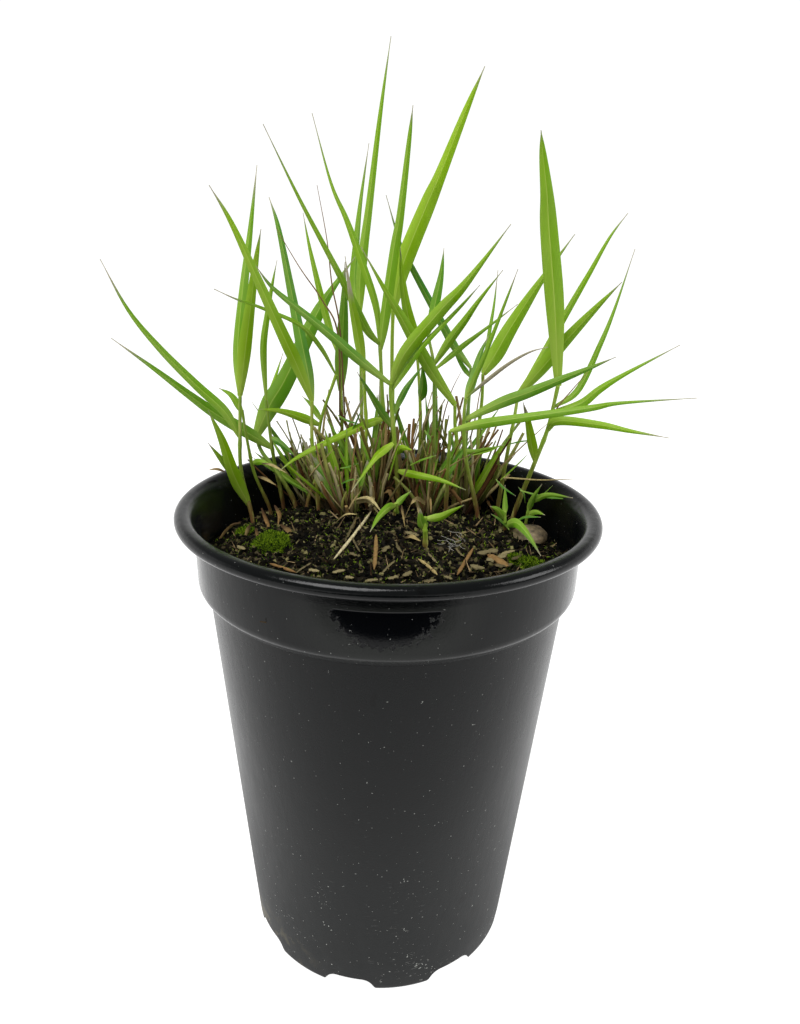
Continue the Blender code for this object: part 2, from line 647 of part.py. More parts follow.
def make_moss(moss, home):
    """A low cushion of moss that lies on the soil."""
    mesh = bpy.data.meshes.new(moss.name)
    bm = bmesh.new()
    x0, y0 = moss.middle
    rings = 4
    tops, feet = [], []
    for r in range(rings + 1):
        share = r / rings
        count = 1 if r == 0 else MOSS_SIDES
        for k in range(count):
            angle = math.tau * k / MOSS_SIDES
            edge = 1.0 + 0.18 * math.sin(3 * angle + moss.middle[0])
            x = x0 + moss.half[0] * share * edge * math.cos(angle)
            y = y0 + moss.half[1] * share * edge * math.sin(angle)
            ground = soil_height(x, y) + MOSS_GAP
            rise = 0.5 + moss.rise * (1.0 - share**2)
            tops.append(bm.verts.new(Vector((x, y, ground + rise)) * MM))
            feet.append(bm.verts.new(Vector((x, y, ground)) * MM))
    for skin in (tops, feet):
        for k in range(MOSS_SIDES):
            j = (k + 1) % MOSS_SIDES
            bm.faces.new((skin[0], skin[1 + k], skin[1 + j]))
            for r in range(rings - 1):
                low, high = 1 + r * MOSS_SIDES, 1 + (r + 1) * MOSS_SIDES
                bm.faces.new((skin[low + k], skin[high + k], skin[high + j]))
                bm.faces.new((skin[low + k], skin[high + j], skin[low + j]))
    rim = 1 + (rings - 1) * MOSS_SIDES
    for k in range(MOSS_SIDES):
        j = (k + 1) % MOSS_SIDES
        bm.faces.new((tops[rim + k], feet[rim + k], feet[rim + j]))
        bm.faces.new((tops[rim + k], feet[rim + j], tops[rim + j]))
    bmesh.ops.recalc_face_normals(bm, faces=bm.faces)
    bm.to_mesh(mesh)
    bm.free()
    return new_object(moss.name, mesh, home)


def make_stick(stick, home):
    """A bit of twig that lies along the soil."""
    start, end = on_soil(*stick.start), on_soil(*stick.end)
    path = []
    for k in range(STICK_STEPS + 1):
        place = start.lerp(end, k / STICK_STEPS)
        path.append(Vector((place.x, place.y, soil_height(place.x, place.y) + stick.radius + STICK_GAP)))
    straight = [path[0].lerp(path[-1], k / STICK_STEPS) for k in range(STICK_STEPS + 1)]
    lift = max(0.0, max(a.z - b.z for a, b in zip(path, straight)))
    raised = [p + Vector((0, 0, lift)) for p in straight]
    return make_rod(stick.name, raised, [stick.radius] * len(raised), 5, home)


def clear_scene():
    """Remove every object, so that the script can run in a scene that holds some."""
    for obj in list(bpy.data.objects):
        bpy.data.objects.remove(obj, do_unlink=True)


def main():
    """Build the potted grass."""
    clear_scene()
    scene = bpy.context.scene
    home = bpy.data.collections.new("forest_grass")
    notches = bpy.data.collections.new("pot_notches")
    holes = bpy.data.collections.new("soil_holes")
    joining = bpy.data.collections.new("joining")
    for collection in (home, notches, holes, joining):
        scene.collection.children.link(collection)

    leaf = material("leaf_green", (0.22, 0.36, 0.05), 0.5)
    straw = material("straw_brown", (0.34, 0.24, 0.13), 0.75)
    plastic = material("pot_plastic", (0.028, 0.029, 0.031), 0.38)
    mix = material("growing_mix", (0.035, 0.028, 0.02), 0.95)
    moss = material("moss_green", (0.10, 0.16, 0.03), 0.95)
    stone = material("stone_brown", (0.27, 0.22, 0.17), 0.6)

    make_pot(home, notches).data.materials.append(plastic)
    taken = []
    for shoot in SHOOTS:
        made = make_shoot(shoot, taken, home, joining)
        made.data.materials.append(leaf)
        make_hole(f"hole_{shoot.name}", shoot.root, shoot.radius + HOLE_ROOM, holes)
    for tuft in TUFTS:
        made = make_tuft(tuft, taken, home, joining)
        made.data.materials.append(straw)
        make_hole(f"hole_{tuft.name}", tuft.middle, tuft.spread * 0.55 + HOLE_ROOM, holes)
    make_pebble("pebble", PEBBLE_MIDDLE, PEBBLE_SIZE, home).data.materials.append(stone)
    make_pebble("hole_pebble", PEBBLE_MIDDLE, PEBBLE_SIZE + GAP, holes)
    for patch in MOSSES:
        make_moss(patch, home).data.materials.append(moss)
    for stick in STICKS:
        make_stick(stick, home).data.materials.append(straw)
    make_soil(home, holes).data.materials.append(mix)

    for collection in (notches, holes):
        for obj in collection.objects:
            obj.hide_render = True
            obj.display_type = "WIRE"
    bpy.data.collections.remove(joining)


main()
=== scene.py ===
"""A young clump of forest grass in a black nursery pot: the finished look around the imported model.

Everything is in metres, +Z up, with the origin in the middle of the pot's underside. The grass is
set out by sight, as in the part's source: a point on a stem or a leaf is the column and the row
where it shows in the 800 x 1024 reference photograph, with how far it lies behind the pot's axis.
"""

from __future__ import annotations

import logging
import math
import random
from dataclasses import dataclass
from enum import Enum
from typing import Callable, Iterable, NamedTuple, Sequence

import bmesh
import bpy
from mathutils import Matrix, Vector, noise

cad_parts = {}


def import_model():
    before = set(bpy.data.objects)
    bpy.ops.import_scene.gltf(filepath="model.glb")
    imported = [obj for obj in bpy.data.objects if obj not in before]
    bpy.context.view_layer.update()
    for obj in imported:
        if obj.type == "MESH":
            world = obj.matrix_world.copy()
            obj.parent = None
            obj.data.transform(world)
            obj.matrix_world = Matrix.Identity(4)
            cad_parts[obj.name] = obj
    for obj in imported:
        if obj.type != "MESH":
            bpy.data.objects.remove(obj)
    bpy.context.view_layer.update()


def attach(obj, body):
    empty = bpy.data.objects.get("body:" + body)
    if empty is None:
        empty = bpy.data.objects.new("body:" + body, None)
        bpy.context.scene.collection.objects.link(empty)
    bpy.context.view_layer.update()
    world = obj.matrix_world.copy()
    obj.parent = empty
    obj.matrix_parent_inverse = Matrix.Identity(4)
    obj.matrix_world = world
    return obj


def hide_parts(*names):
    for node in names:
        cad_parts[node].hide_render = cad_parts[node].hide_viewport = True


MM = 0.001
LOG = logging.getLogger("forest_grass")
Colour = tuple[float, float, float]
Outline = tuple[tuple[float, float], ...]


class Stuff(Enum):
    """What a piece is made of, by the record's material slot."""

    LEAF = "leaf_green"
    STRAW = "straw_brown"
    PLASTIC = "pot_plastic"
    MIX = "growing_mix"
    MOSS = "moss_green"
    STONE = "stone_brown"


class Blade(NamedTuple):
    """A leaf blade: millimetres wide, degrees turned, its tip's place behind, its hue from yellow
    green (0) to blue green (1), the share of it that has dried at the tip, and where it shows."""

    width: float
    turn: float
    behind: float
    hue: float
    dry: float
    path: tuple[tuple[float, float], ...]


class Shoot(NamedTuple):
    """A leafy stem: its node's name, its root, its radius, its culm's points and its blades."""

    name: str
    root: tuple[float, float]
    radius: float
    culm: tuple[tuple[float, float, float], ...]
    blades: tuple[Blade, ...]


class Tuft(NamedTuple):
    """A tuft of dead straw: its node's name, its middle, how wide it stands, its least and
    greatest height in millimetres, its lean in degrees and its number for random draws."""

    name: str
    middle: tuple[float, float]
    spread: float
    height: tuple[float, float]
    lean: float
    seed: int


class Stick(NamedTuple):
    """A bit of twig on the mix: where its ends show, its radius in millimetres and its hue."""

    name: str
    start: tuple[float, float]
    end: tuple[float, float]
    radius: float
    hue: float


class Patch(NamedTuple):
    """A cushion of moss: its middle, its half sizes and its rise, in millimetres."""

    name: str
    middle: tuple[float, float]
    half: tuple[float, float]
    rise: float


@dataclass(frozen=True)
class Eye:
    """Where the photograph was taken from: millimetres, degrees and pixels."""

    place: Vector = Vector((-3.0, -213.2, 206.9))
    pitch_down: float = 19.48
    yaw_right: float = 1.61
    roll: float = 1.705
    focal_px: float = 818.2
    middle: tuple[float, float] = (400.0, 512.0)
    picture_height: float = 1024.0
    sensor_mm: float = 36.0

    def axes(self) -> tuple[Vector, Vector, Vector]:
        """The picture's right and up directions and the way the eye faced.

        Returns:
            Three unit vectors: right, up and ahead.
        """
        pitch, yaw, roll = (math.radians(a) for a in (self.pitch_down, self.yaw_right, self.roll))
        flat = math.cos(pitch)
        ahead = Vector((math.sin(yaw) * flat, math.cos(yaw) * flat, -math.sin(pitch)))
        level = Vector((math.cos(yaw), -math.sin(yaw), 0.0))
        above = level.cross(ahead)
        right = level * math.cos(roll) + above * math.sin(roll)
        up = above * math.cos(roll) - level * math.sin(roll)
        return right, up, ahead

    def sighted(self, column: float, row: float, behind: float) -> Vector:
        """The place in millimetres that shows at a column and a row.

        Args:
            column: The photograph's column.
            row: The photograph's row.
            behind: How far the place lies behind the pot's axis.

        Returns:
            The place in millimetres.
        """
        right, up, ahead = self.axes()
        ray = (
            ahead
            + right * ((column - self.middle[0]) / self.focal_px)
            - up * ((row - self.middle[1]) / self.focal_px)
        )
        return self.place + ray * ((behind - self.place.y) / ray.y)

    def make_camera(self) -> None:
        """Add the camera that sees what the photograph shows."""
        right, up, ahead = self.axes()
        data = bpy.data.cameras.new("camera")
        data.sensor_fit = "VERTICAL"
        data.sensor_height = self.sensor_mm
        data.lens = self.focal_px * self.sensor_mm / self.picture_height
        data.clip_start = 0.01
        camera = bpy.data.objects.new("camera", data)
        turn = Matrix((right, up, -ahead)).transposed().to_4x4()
        turn.translation = self.place * MM
        camera.matrix_world = turn
        bpy.context.scene.collection.objects.link(camera)
        bpy.context.scene.camera = camera


EYE = Eye()


@dataclass(frozen=True)
class PotSizes:
    """The pot's driving sizes, in millimetres, as in the part's source."""

    rim_radius: float = 57.5
    height: float = 134.6
    lip: float = 3.6
    collar_radius: float = 52.2
    collar_foot_z: float = 115.0
    ledge_z: float = 111.5
    ledge_radius: float = 49.3
    base_radius: float = 38.8
    wall: float = 1.2
    floor_z: float = 5.5
    notches: int = 8
    notch_mouth: float = 16.2
    notch_top: float = 11.0
    notch_depth: float = 11.0
    notch_height: float = 4.3
    first_notch_deg: float = -102.8


@dataclass(frozen=True)
class MixSizes:
    """The growing mix's driving sizes, in millimetres, as in the part's source."""

    edge_z: float = 119.0
    crown_z: float = 125.5
    roughness: float = 1.1
    lump_rate: float = 0.16
    lump_layer: float = 3.7
    crown_power: float = 2.2
    sink: float = 7.0
    search_rounds: int = 40
    search_step: float = 1.2

    def height(self, x: float, y: float) -> float:
        """Height of the mix's smooth surface at a place, in millimetres."""
        out = min(1.0, math.hypot(x, y) / POT.ledge_radius)
        crown = self.edge_z + (self.crown_z - self.edge_z) * (1.0 - out**self.crown_power)
        lump = noise.noise(Vector((x * self.lump_rate, y * self.lump_rate, self.lump_layer)))
        return crown + self.roughness * lump

    def on_surface(self, column: float, row: float) -> Vector:
        """The place on the mix that shows at this column and row."""
        behind = 0.0
        for _ in range(self.search_rounds):
            place = EYE.sighted(column, row, behind)
            behind += (place.z - self.height(place.x, place.y)) * self.search_step
        return EYE.sighted(column, row, behind)


POT = PotSizes()
MIX = MixSizes()


def smooth_path(points: Sequence[Vector], steps: int) -> list[Vector]:
    """Places along one smooth curve through some points.

    Args:
        points: The points that the curve passes through.
        steps: How many equal steps to take, by point number.

    Returns:
        steps + 1 places.
    """
    line = [points[0] * 2 - points[1], *points, points[-1] * 2 - points[-2]]
    spans = len(points) - 1
    found = []
    for i in range(steps + 1):
        at = min(i * spans / steps, spans - 1e-9)
        k, t = int(at), at - int(at)
        a, b, c, d = line[k : k + 4]
        found.append(
            0.5 * (b * 2 + (c - a) * t + (a * 2 - b * 5 + c * 4 - d) * t**2
                   + (b * 3 - a - c * 3 + d) * t**3)
        )
    return found


def directions(path: Sequence[Vector]) -> list[Vector]:
    """The way the path runs at each of its points."""
    last = len(path) - 1
    return [(path[min(i + 1, last)] - path[max(i - 1, 0)]).normalized() for i in range(last + 1)]


def shares(steps: int) -> list[float]:
    """The shares of the way along at equal steps, from 0 to 1."""
    return [i / steps for i in range(steps + 1)]


def square_to(path: Sequence[Vector], lean: Vector) -> list[Vector]:
    """At each point of the path, the direction square to it that is nearest to the lean."""
    return [(lean - way * way.dot(lean)).normalized() for way in directions(path)]


def smooth_mesh(name: str, bm: bmesh.types.BMesh) -> bpy.types.Mesh:
    """A smooth mesh of a bmesh, which is used up."""
    for face in bm.faces:
        face.smooth = True
    mesh = bpy.data.meshes.new(name)
    bm.to_mesh(mesh)
    bm.free()
    return mesh


def new_piece(name: str, mesh: bpy.types.Mesh) -> bpy.types.Object:
    """A new object of this mesh at the origin."""
    piece = bpy.data.objects.new(name, mesh)
    bpy.context.scene.collection.objects.link(piece)
    return piece


def settle(piece: bpy.types.Object, stuff: Stuff, nodes: Iterable[str] = ()) -> None:
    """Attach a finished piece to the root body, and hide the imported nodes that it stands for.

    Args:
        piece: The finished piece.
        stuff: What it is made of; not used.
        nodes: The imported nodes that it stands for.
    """
    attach(piece, "root")
    names = list(nodes)
    if names:
        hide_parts(*names)
    LOG.info("%s: %d faces", piece.name, len(piece.data.polygons))


def maths(operation: str, reflected: bool = False) -> Callable[..., Wire]:
    """A method of Wire that adds a Math node of this operation.

    Args:
        operation: The Math node's operation.
        reflected: Whether the Wire stands on the right of its operator.

    Returns:
        The method.
    """

    def method(self: Wire, other: object = 0.0) -> Wire:
        """The Math node's output."""
        first, second = (other, self) if reflected else (self, other)
        return self.nodes.add("ShaderNodeMath", {"operation": operation}, {0: first, 1: second})

    return method


class Wire:
    """One output of a node, with the operators that add a Math node for each sum."""

    def __init__(self, nodes: Nodes, socket: bpy.types.NodeSocket) -> None:
        """Keep the tree's helper and the socket."""
        self.nodes = nodes
        self.socket = socket

    __add__, __radd__ = maths("ADD"), maths("ADD", reflected=True)
    __sub__, __rsub__ = maths("SUBTRACT"), maths("SUBTRACT", reflected=True)
    __mul__, __rmul__ = maths("MULTIPLY"), maths("MULTIPLY", reflected=True)
    __truediv__, __pow__ = maths("DIVIDE"), maths("POWER")
    __abs__, sine = maths("ABSOLUTE"), maths("SINE")
    above, least, most = maths("GREATER_THAN"), maths("MINIMUM"), maths("MAXIMUM")


class Nodes:
    """Adds nodes to one node tree."""

    def __init__(self, tree: bpy.types.NodeTree) -> None:
        """Keep the tree."""
        self.tree = tree

    def add(
        self,
        kind: str,
        settings: dict[str, object] | None = None,
        inputs: dict[int | str, object] | None = None,
        output: int | str = 0,
    ) -> Wire:
        """Add a node.

        Args:
            kind: The node's type.
            settings: Its properties, set first; "stops" holds a colour ramp's places and colours.
            inputs: A value or a Wire for each input socket.
            output: The output to return.

        Returns:
            The output as a Wire.
        """
        node = self.tree.nodes.new(kind)
        for key, value in (settings or {}).items():
            if key == "stops":
                self._set_stops(node.color_ramp, value)
            else:
                setattr(node, key, value)
        for key, value in (inputs or {}).items():
            if isinstance(value, Wire):
                self.tree.links.new(value.socket, node.inputs[key])
            else:
                node.inputs[key].default_value = value
        return Wire(self, node.outputs[output])

    @staticmethod
    def _set_stops(ramp: bpy.types.ColorRamp, stops: Sequence[tuple[float, Colour]]) -> None:
        """Give the ramp these (place, colour) stops."""
        while len(ramp.elements) < len(stops):
            ramp.elements.new(1.0)
        for element, (place, colour) in zip(ramp.elements, stops):
            element.position = place
            element.color = (*colour, 1.0)

    def ramp(self, factor: object, *stops: tuple[float, Colour]) -> Wire:
        """A colour ramp of these stops, driven by the factor."""
        return self.add("ShaderNodeValToRGB", {"stops": stops}, {0: factor})

    def step(self, value: object, low: float, high: float) -> Wire:
        """0 below low, 1 above high and smooth between."""
        settings = {"interpolation_type": "SMOOTHSTEP"}
        return self.add("ShaderNodeMapRange", settings, {0: value, 1: low, 2: high})

    def mix(self, factor: object, first: object, second: object) -> Wire:
        """A mix of two colours, each a Wire or three numbers."""
        colours = {
            key: (value if isinstance(value, Wire) else (*value, 1.0))
            for key, value in ((6, first), (7, second))
        }
        return self.add("ShaderNodeMix", {"data_type": "RGBA"}, {0: factor, **colours}, 2)

    def parts(self, vector: Wire) -> list[Wire]:
        """The X, Y and Z parts of a vector."""
        node = self.add("ShaderNodeSeparateXYZ", {}, {0: vector}).socket.node
        return [Wire(self, output) for output in node.outputs]

    def attribute(self, name: str) -> Wire:
        """A number that the piece carries on its points."""
        return self.add("ShaderNodeAttribute", {"attribute_name": name}, output="Fac")

    def place(self, stretch: tuple[float, float, float] = (1, 1, 1)) -> Wire:
        """The point's place on the piece, stretched along each axis."""
        where = self.add("ShaderNodeTexCoord", output="Object")
        return self.add("ShaderNodeMapping", {}, {0: where, 3: stretch})

    def noise(self, vector: Wire, scale: float, detail: float = 3.0, rough: float = 0.55) -> Wire:
        """A cloudy pattern from 0 to 1."""
        values = {"Vector": vector, "Scale": scale, "Detail": detail, "Roughness": rough}
        return self.add("ShaderNodeTexNoise", {}, values)

    def specks(self, vector: Wire, scale: float) -> tuple[Wire, Wire]:
        """How far each point lies from its cell's speck, and a number for each cell."""
        near = self.add("ShaderNodeTexVoronoi", {}, {"Vector": vector, "Scale": scale})
        tint = Wire(self, near.socket.node.outputs["Color"])
        pick = self.add("ShaderNodeSeparateColor", {}, {0: tint})
        return near, pick

    def finished(self, shape: Wire, finish: Wire) -> bpy.types.NodeTree:
        """End a Geometry Nodes tree: the shape made real and dressed in this finish."""
        real = self.add("GeometryNodeRealizeInstances", {}, {0: shape})
        dressed = self.add("GeometryNodeSetMaterial", {}, {0: real, "Material": finish})
        end = self.tree.nodes.new("NodeGroupOutput")
        self.tree.links.new(dressed.socket, end.inputs[0])
        return self.tree


def new_tree(name: str, inputs: dict[str, str]) -> tuple[Nodes, dict[str, Wire]]:
    """A new Geometry Nodes tree that takes a geometry and some named inputs.

    Args:
        name: The tree's name.
        inputs: The kind of each further input, by its name.

    Returns:
        The tree's helper, and each input as a Wire by its name.
    """
    tree = bpy.data.node_groups.new(name, "GeometryNodeTree")
    for key, kind in {"Geometry": "Geometry", **inputs}.items():
        tree.interface.new_socket(key, in_out="INPUT", socket_type="NodeSocket" + kind)
    tree.interface.new_socket("Geometry", in_out="OUTPUT", socket_type="NodeSocketGeometry")
    nodes = Nodes(tree)
    given = nodes.add("NodeGroupInput").socket.node.outputs
    return nodes, {key: Wire(nodes, given[key]) for key in ("Geometry", *inputs)}


Paint = tuple[Wire, "Wire | float", Wire, float]


@dataclass(frozen=True)
class Finish:
    """The base of every finish: a Principled surface, with how strongly it shines."""

    name: str = "finish"
    roughness: float = 0.5
    shine: float = 0.5

    def paint(self, nodes: Nodes) -> Paint:
        """The colour, the roughness, the relief's height and the relief's depth in metres."""
        raise NotImplementedError

    def made(self) -> bpy.types.Material:
        """Make the material.

        Returns:
            A node-based material.
        """
        material = bpy.data.materials.new(self.name)
        material.use_nodes = True
        tree = material.node_tree
        tree.nodes.clear()
        nodes = Nodes(tree)
        colour, rough, height, depth = self.paint(nodes)
        values: dict[int | str, object] = {"Base Color": colour, "Roughness": rough}
        bump = {"Height": height, "Distance": depth, "Strength": 1.0}
        values["Normal"] = nodes.add("ShaderNodeBump", {}, bump)
        values["Specular IOR Level"] = self.shine
        surface = self.over(nodes, nodes.add("ShaderNodeBsdfPrincipled", {}, values))
        end = tree.nodes.new("ShaderNodeOutputMaterial")
        tree.links.new(surface.socket, end.inputs[0])
        return material

    def over(self, nodes: Nodes, surface: Wire) -> Wire:
        """What lies over the Principled surface; nothing, as a rule."""
        return surface


@dataclass(frozen=True)
class LeafFinish(Finish):
    """A grass blade: fine ribs along it, a pale midrib, a dried tip, and light coming through."""

    name: str = "leaf"
    roughness: float = 0.46
    shine: float = 0.22
    ribs: float = 7.0
    rib_depth: float = 0.000012
    spot_scale: float = 200.0
    streak_scale: float = 1400.0
    midrib_half: float = 0.09
    neck_share: float = 0.3
    through: float = 0.34
    bright: Colour = (0.29, 0.50, 0.0015)
    blue: Colour = (0.048, 0.22, 0.022)
    # Pale yellow green of the midrib and the neck, also used as a painted highlight on the blade's
    # lit half.
    pale_and_highlight: Colour = (0.66, 0.76, 0.17)
    # Dark green of painted shade, on the blade's shaded half and in its grooves.
    shade: Colour = (0.050, 0.14, 0.002)
    dried: Colour = (0.34, 0.31, 0.20)
    warm_glow: Colour = (0.50, 0.72, 0.006)
    cool_glow: Colour = (0.22, 0.54, 0.020)

    def paint(self, nodes: Nodes) -> Paint:
        """Hue along the blade, painted shade in the grooves between its ribs, one half painted
        lighter as if lit and the other painted in shade, and brown where it has dried.
        """
        across, along = nodes.attribute("across"), nodes.attribute("along")
        hue, dry = nodes.attribute("hue"), nodes.attribute("dry")
        spot = nodes.noise(nodes.place((1, 1, 0.25)), self.spot_scale)
        streak = nodes.noise(nodes.place((1, 1, 0.06)), self.streak_scale, 2.0)
        body = nodes.mix((hue - 0.12) * 1.25 + (spot - 0.5) * 0.5, self.bright, self.blue)
        # One half of the folded blade painted lighter as if lit, and the other half painted in
        # shade.
        half = nodes.step(across, -0.12, 0.16)
        body = nodes.mix(half * 0.14 + nodes.step(spot, 0.35, 0.7) * 0.16, body, self.pale_and_highlight)
        body = nodes.mix((1.0 - half) * 0.16, body, self.shade)
        # The grooves between the ribs: lowered in the relief, and darkened with painted shade in the
        # colour.
        groove_shade = abs((across * (self.ribs * math.pi)).sine()) ** 2.0
        body = nodes.mix((groove_shade * 0.34 * (0.35 + streak)).least(1.0), body, self.shade)
        neck = 1.0 - nodes.step(along, 0.0, self.neck_share)
        body = nodes.mix(neck * 0.35, body, self.pale_and_highlight)
        midrib = 1.0 - nodes.step(abs(across), 0.02, self.midrib_half)
        body = nodes.mix(midrib * 0.5, body, self.pale_and_highlight)
        edge = nodes.step(abs(across), 0.90, 1.0)
        tip = nodes.step(along + dry + (spot - 0.5) * 0.05, 0.91, 1.07)
        colour = nodes.mix((tip + edge * tip * 0.4).least(1.0), body, self.dried)
        return colour, self.roughness + (spot - 0.5) * 0.25, 1.0 - groove_shade, self.rib_depth

    def over(self, nodes: Nodes, surface: Wire) -> Wire:
        """Let some light through the blade, warmer where its green is yellower."""
        warm, cool = (nodes.add("ShaderNodeBsdfTranslucent", {}, {0: (*colour, 1.0)})
                      for colour in (self.warm_glow, self.cool_glow))
        hue = nodes.attribute("hue") * 1.1
        glow = nodes.add("ShaderNodeMixShader", {}, {0: hue, 1: warm, 2: cool})
        tip = nodes.step(nodes.attribute("along") + nodes.attribute("dry"), 0.96, 1.12)
        share = (1.0 - tip) * self.through
        return nodes.add("ShaderNodeMixShader", {}, {0: share, 1: surface, 2: glow})


@dataclass(frozen=True)
class CulmFinish(Finish):
    """A grass stem: green above, browned and reddened at its foot, with pale streaks."""

    name: str = "culm"
    streak_scale: float = 900.0
    grooves: float = 14.0
    groove_depth: float = 0.00003
    green: Colour = (0.26, 0.40, 0.015)
    deep: Colour = (0.13, 0.24, 0.03)
    foot: Colour = (0.12, 0.042, 0.015)
    sheath: Colour = (0.46, 0.46, 0.12)

    def paint(self, nodes: Nodes) -> Paint:
        """Brown foot to green top, streaked along the stem."""
        along, across = nodes.attribute("along"), nodes.attribute("across")
        streak = nodes.noise(nodes.place((1, 1, 0.12)), self.streak_scale)
        rise = nodes.step(along + (streak - 0.5) * 0.3, 0.18, 0.62)
        body = nodes.mix(nodes.attribute("hue"), self.green, self.deep)
        colour = nodes.mix(rise, self.foot, body)
        colour = nodes.mix(nodes.step(streak, 0.52, 0.7) * 0.6, colour, self.sheath)
        grooves = abs((across * self.grooves).sine()) + streak
        return colour, self.roughness + streak * 0.2, grooves, self.groove_depth


@dataclass(frozen=True)
class StrawFinish(Finish):
    """Dead straw: each stalk its own brown, tan or grey, streaked along its length."""

    name: str = "straw"
    roughness: float = 0.75
    shine: float = 0.15
    streak_scale: float = 1100.0
    groove_depth: float = 0.00015
    tints: tuple[tuple[float, Colour], ...] = (
        (0.0, (0.060, 0.020, 0.005)), (0.22, (0.16, 0.078, 0.024)), (0.5, (0.26, 0.185, 0.070)),
        (0.75, (0.40, 0.33, 0.14)), (1.0, (0.54, 0.48, 0.29)),
    )
    green: Colour = (0.13, 0.23, 0.02)
    streaks: Colour = (0.060, 0.028, 0.009)
    # Dark red-brown of the stalks' feet, also used as painted shade inside the tuft.
    foot: Colour = (0.020, 0.008, 0.004)

    def paint(self, nodes: Nodes) -> Paint:
        """One tint a stalk, greenish where it is still alive, and darker towards its foot: partly
        its own dark foot, partly painted shade inside the dense tuft.
        """
        hue, along = nodes.attribute("hue"), nodes.attribute("along")
        streak = nodes.noise(nodes.place((1, 1, 0.15)), self.streak_scale, 4.0)
        alive = 1.0 - nodes.attribute("dry")
        tint = nodes.mix(alive * (0.4 + streak * 0.6), nodes.ramp(hue, *self.tints), self.green)
        tint = nodes.mix(nodes.step(streak, 0.35, 0.75) * 0.5, tint, self.streaks)
        # Darker towards the foot: partly the stalks' own dark feet, partly painted shade inside the
        # dense tuft.
        low = 1.0 - nodes.step(along, 0.10, 0.68)
        return nodes.mix(low * 0.86, tint, self.foot), self.roughness, streak, self.groove_depth


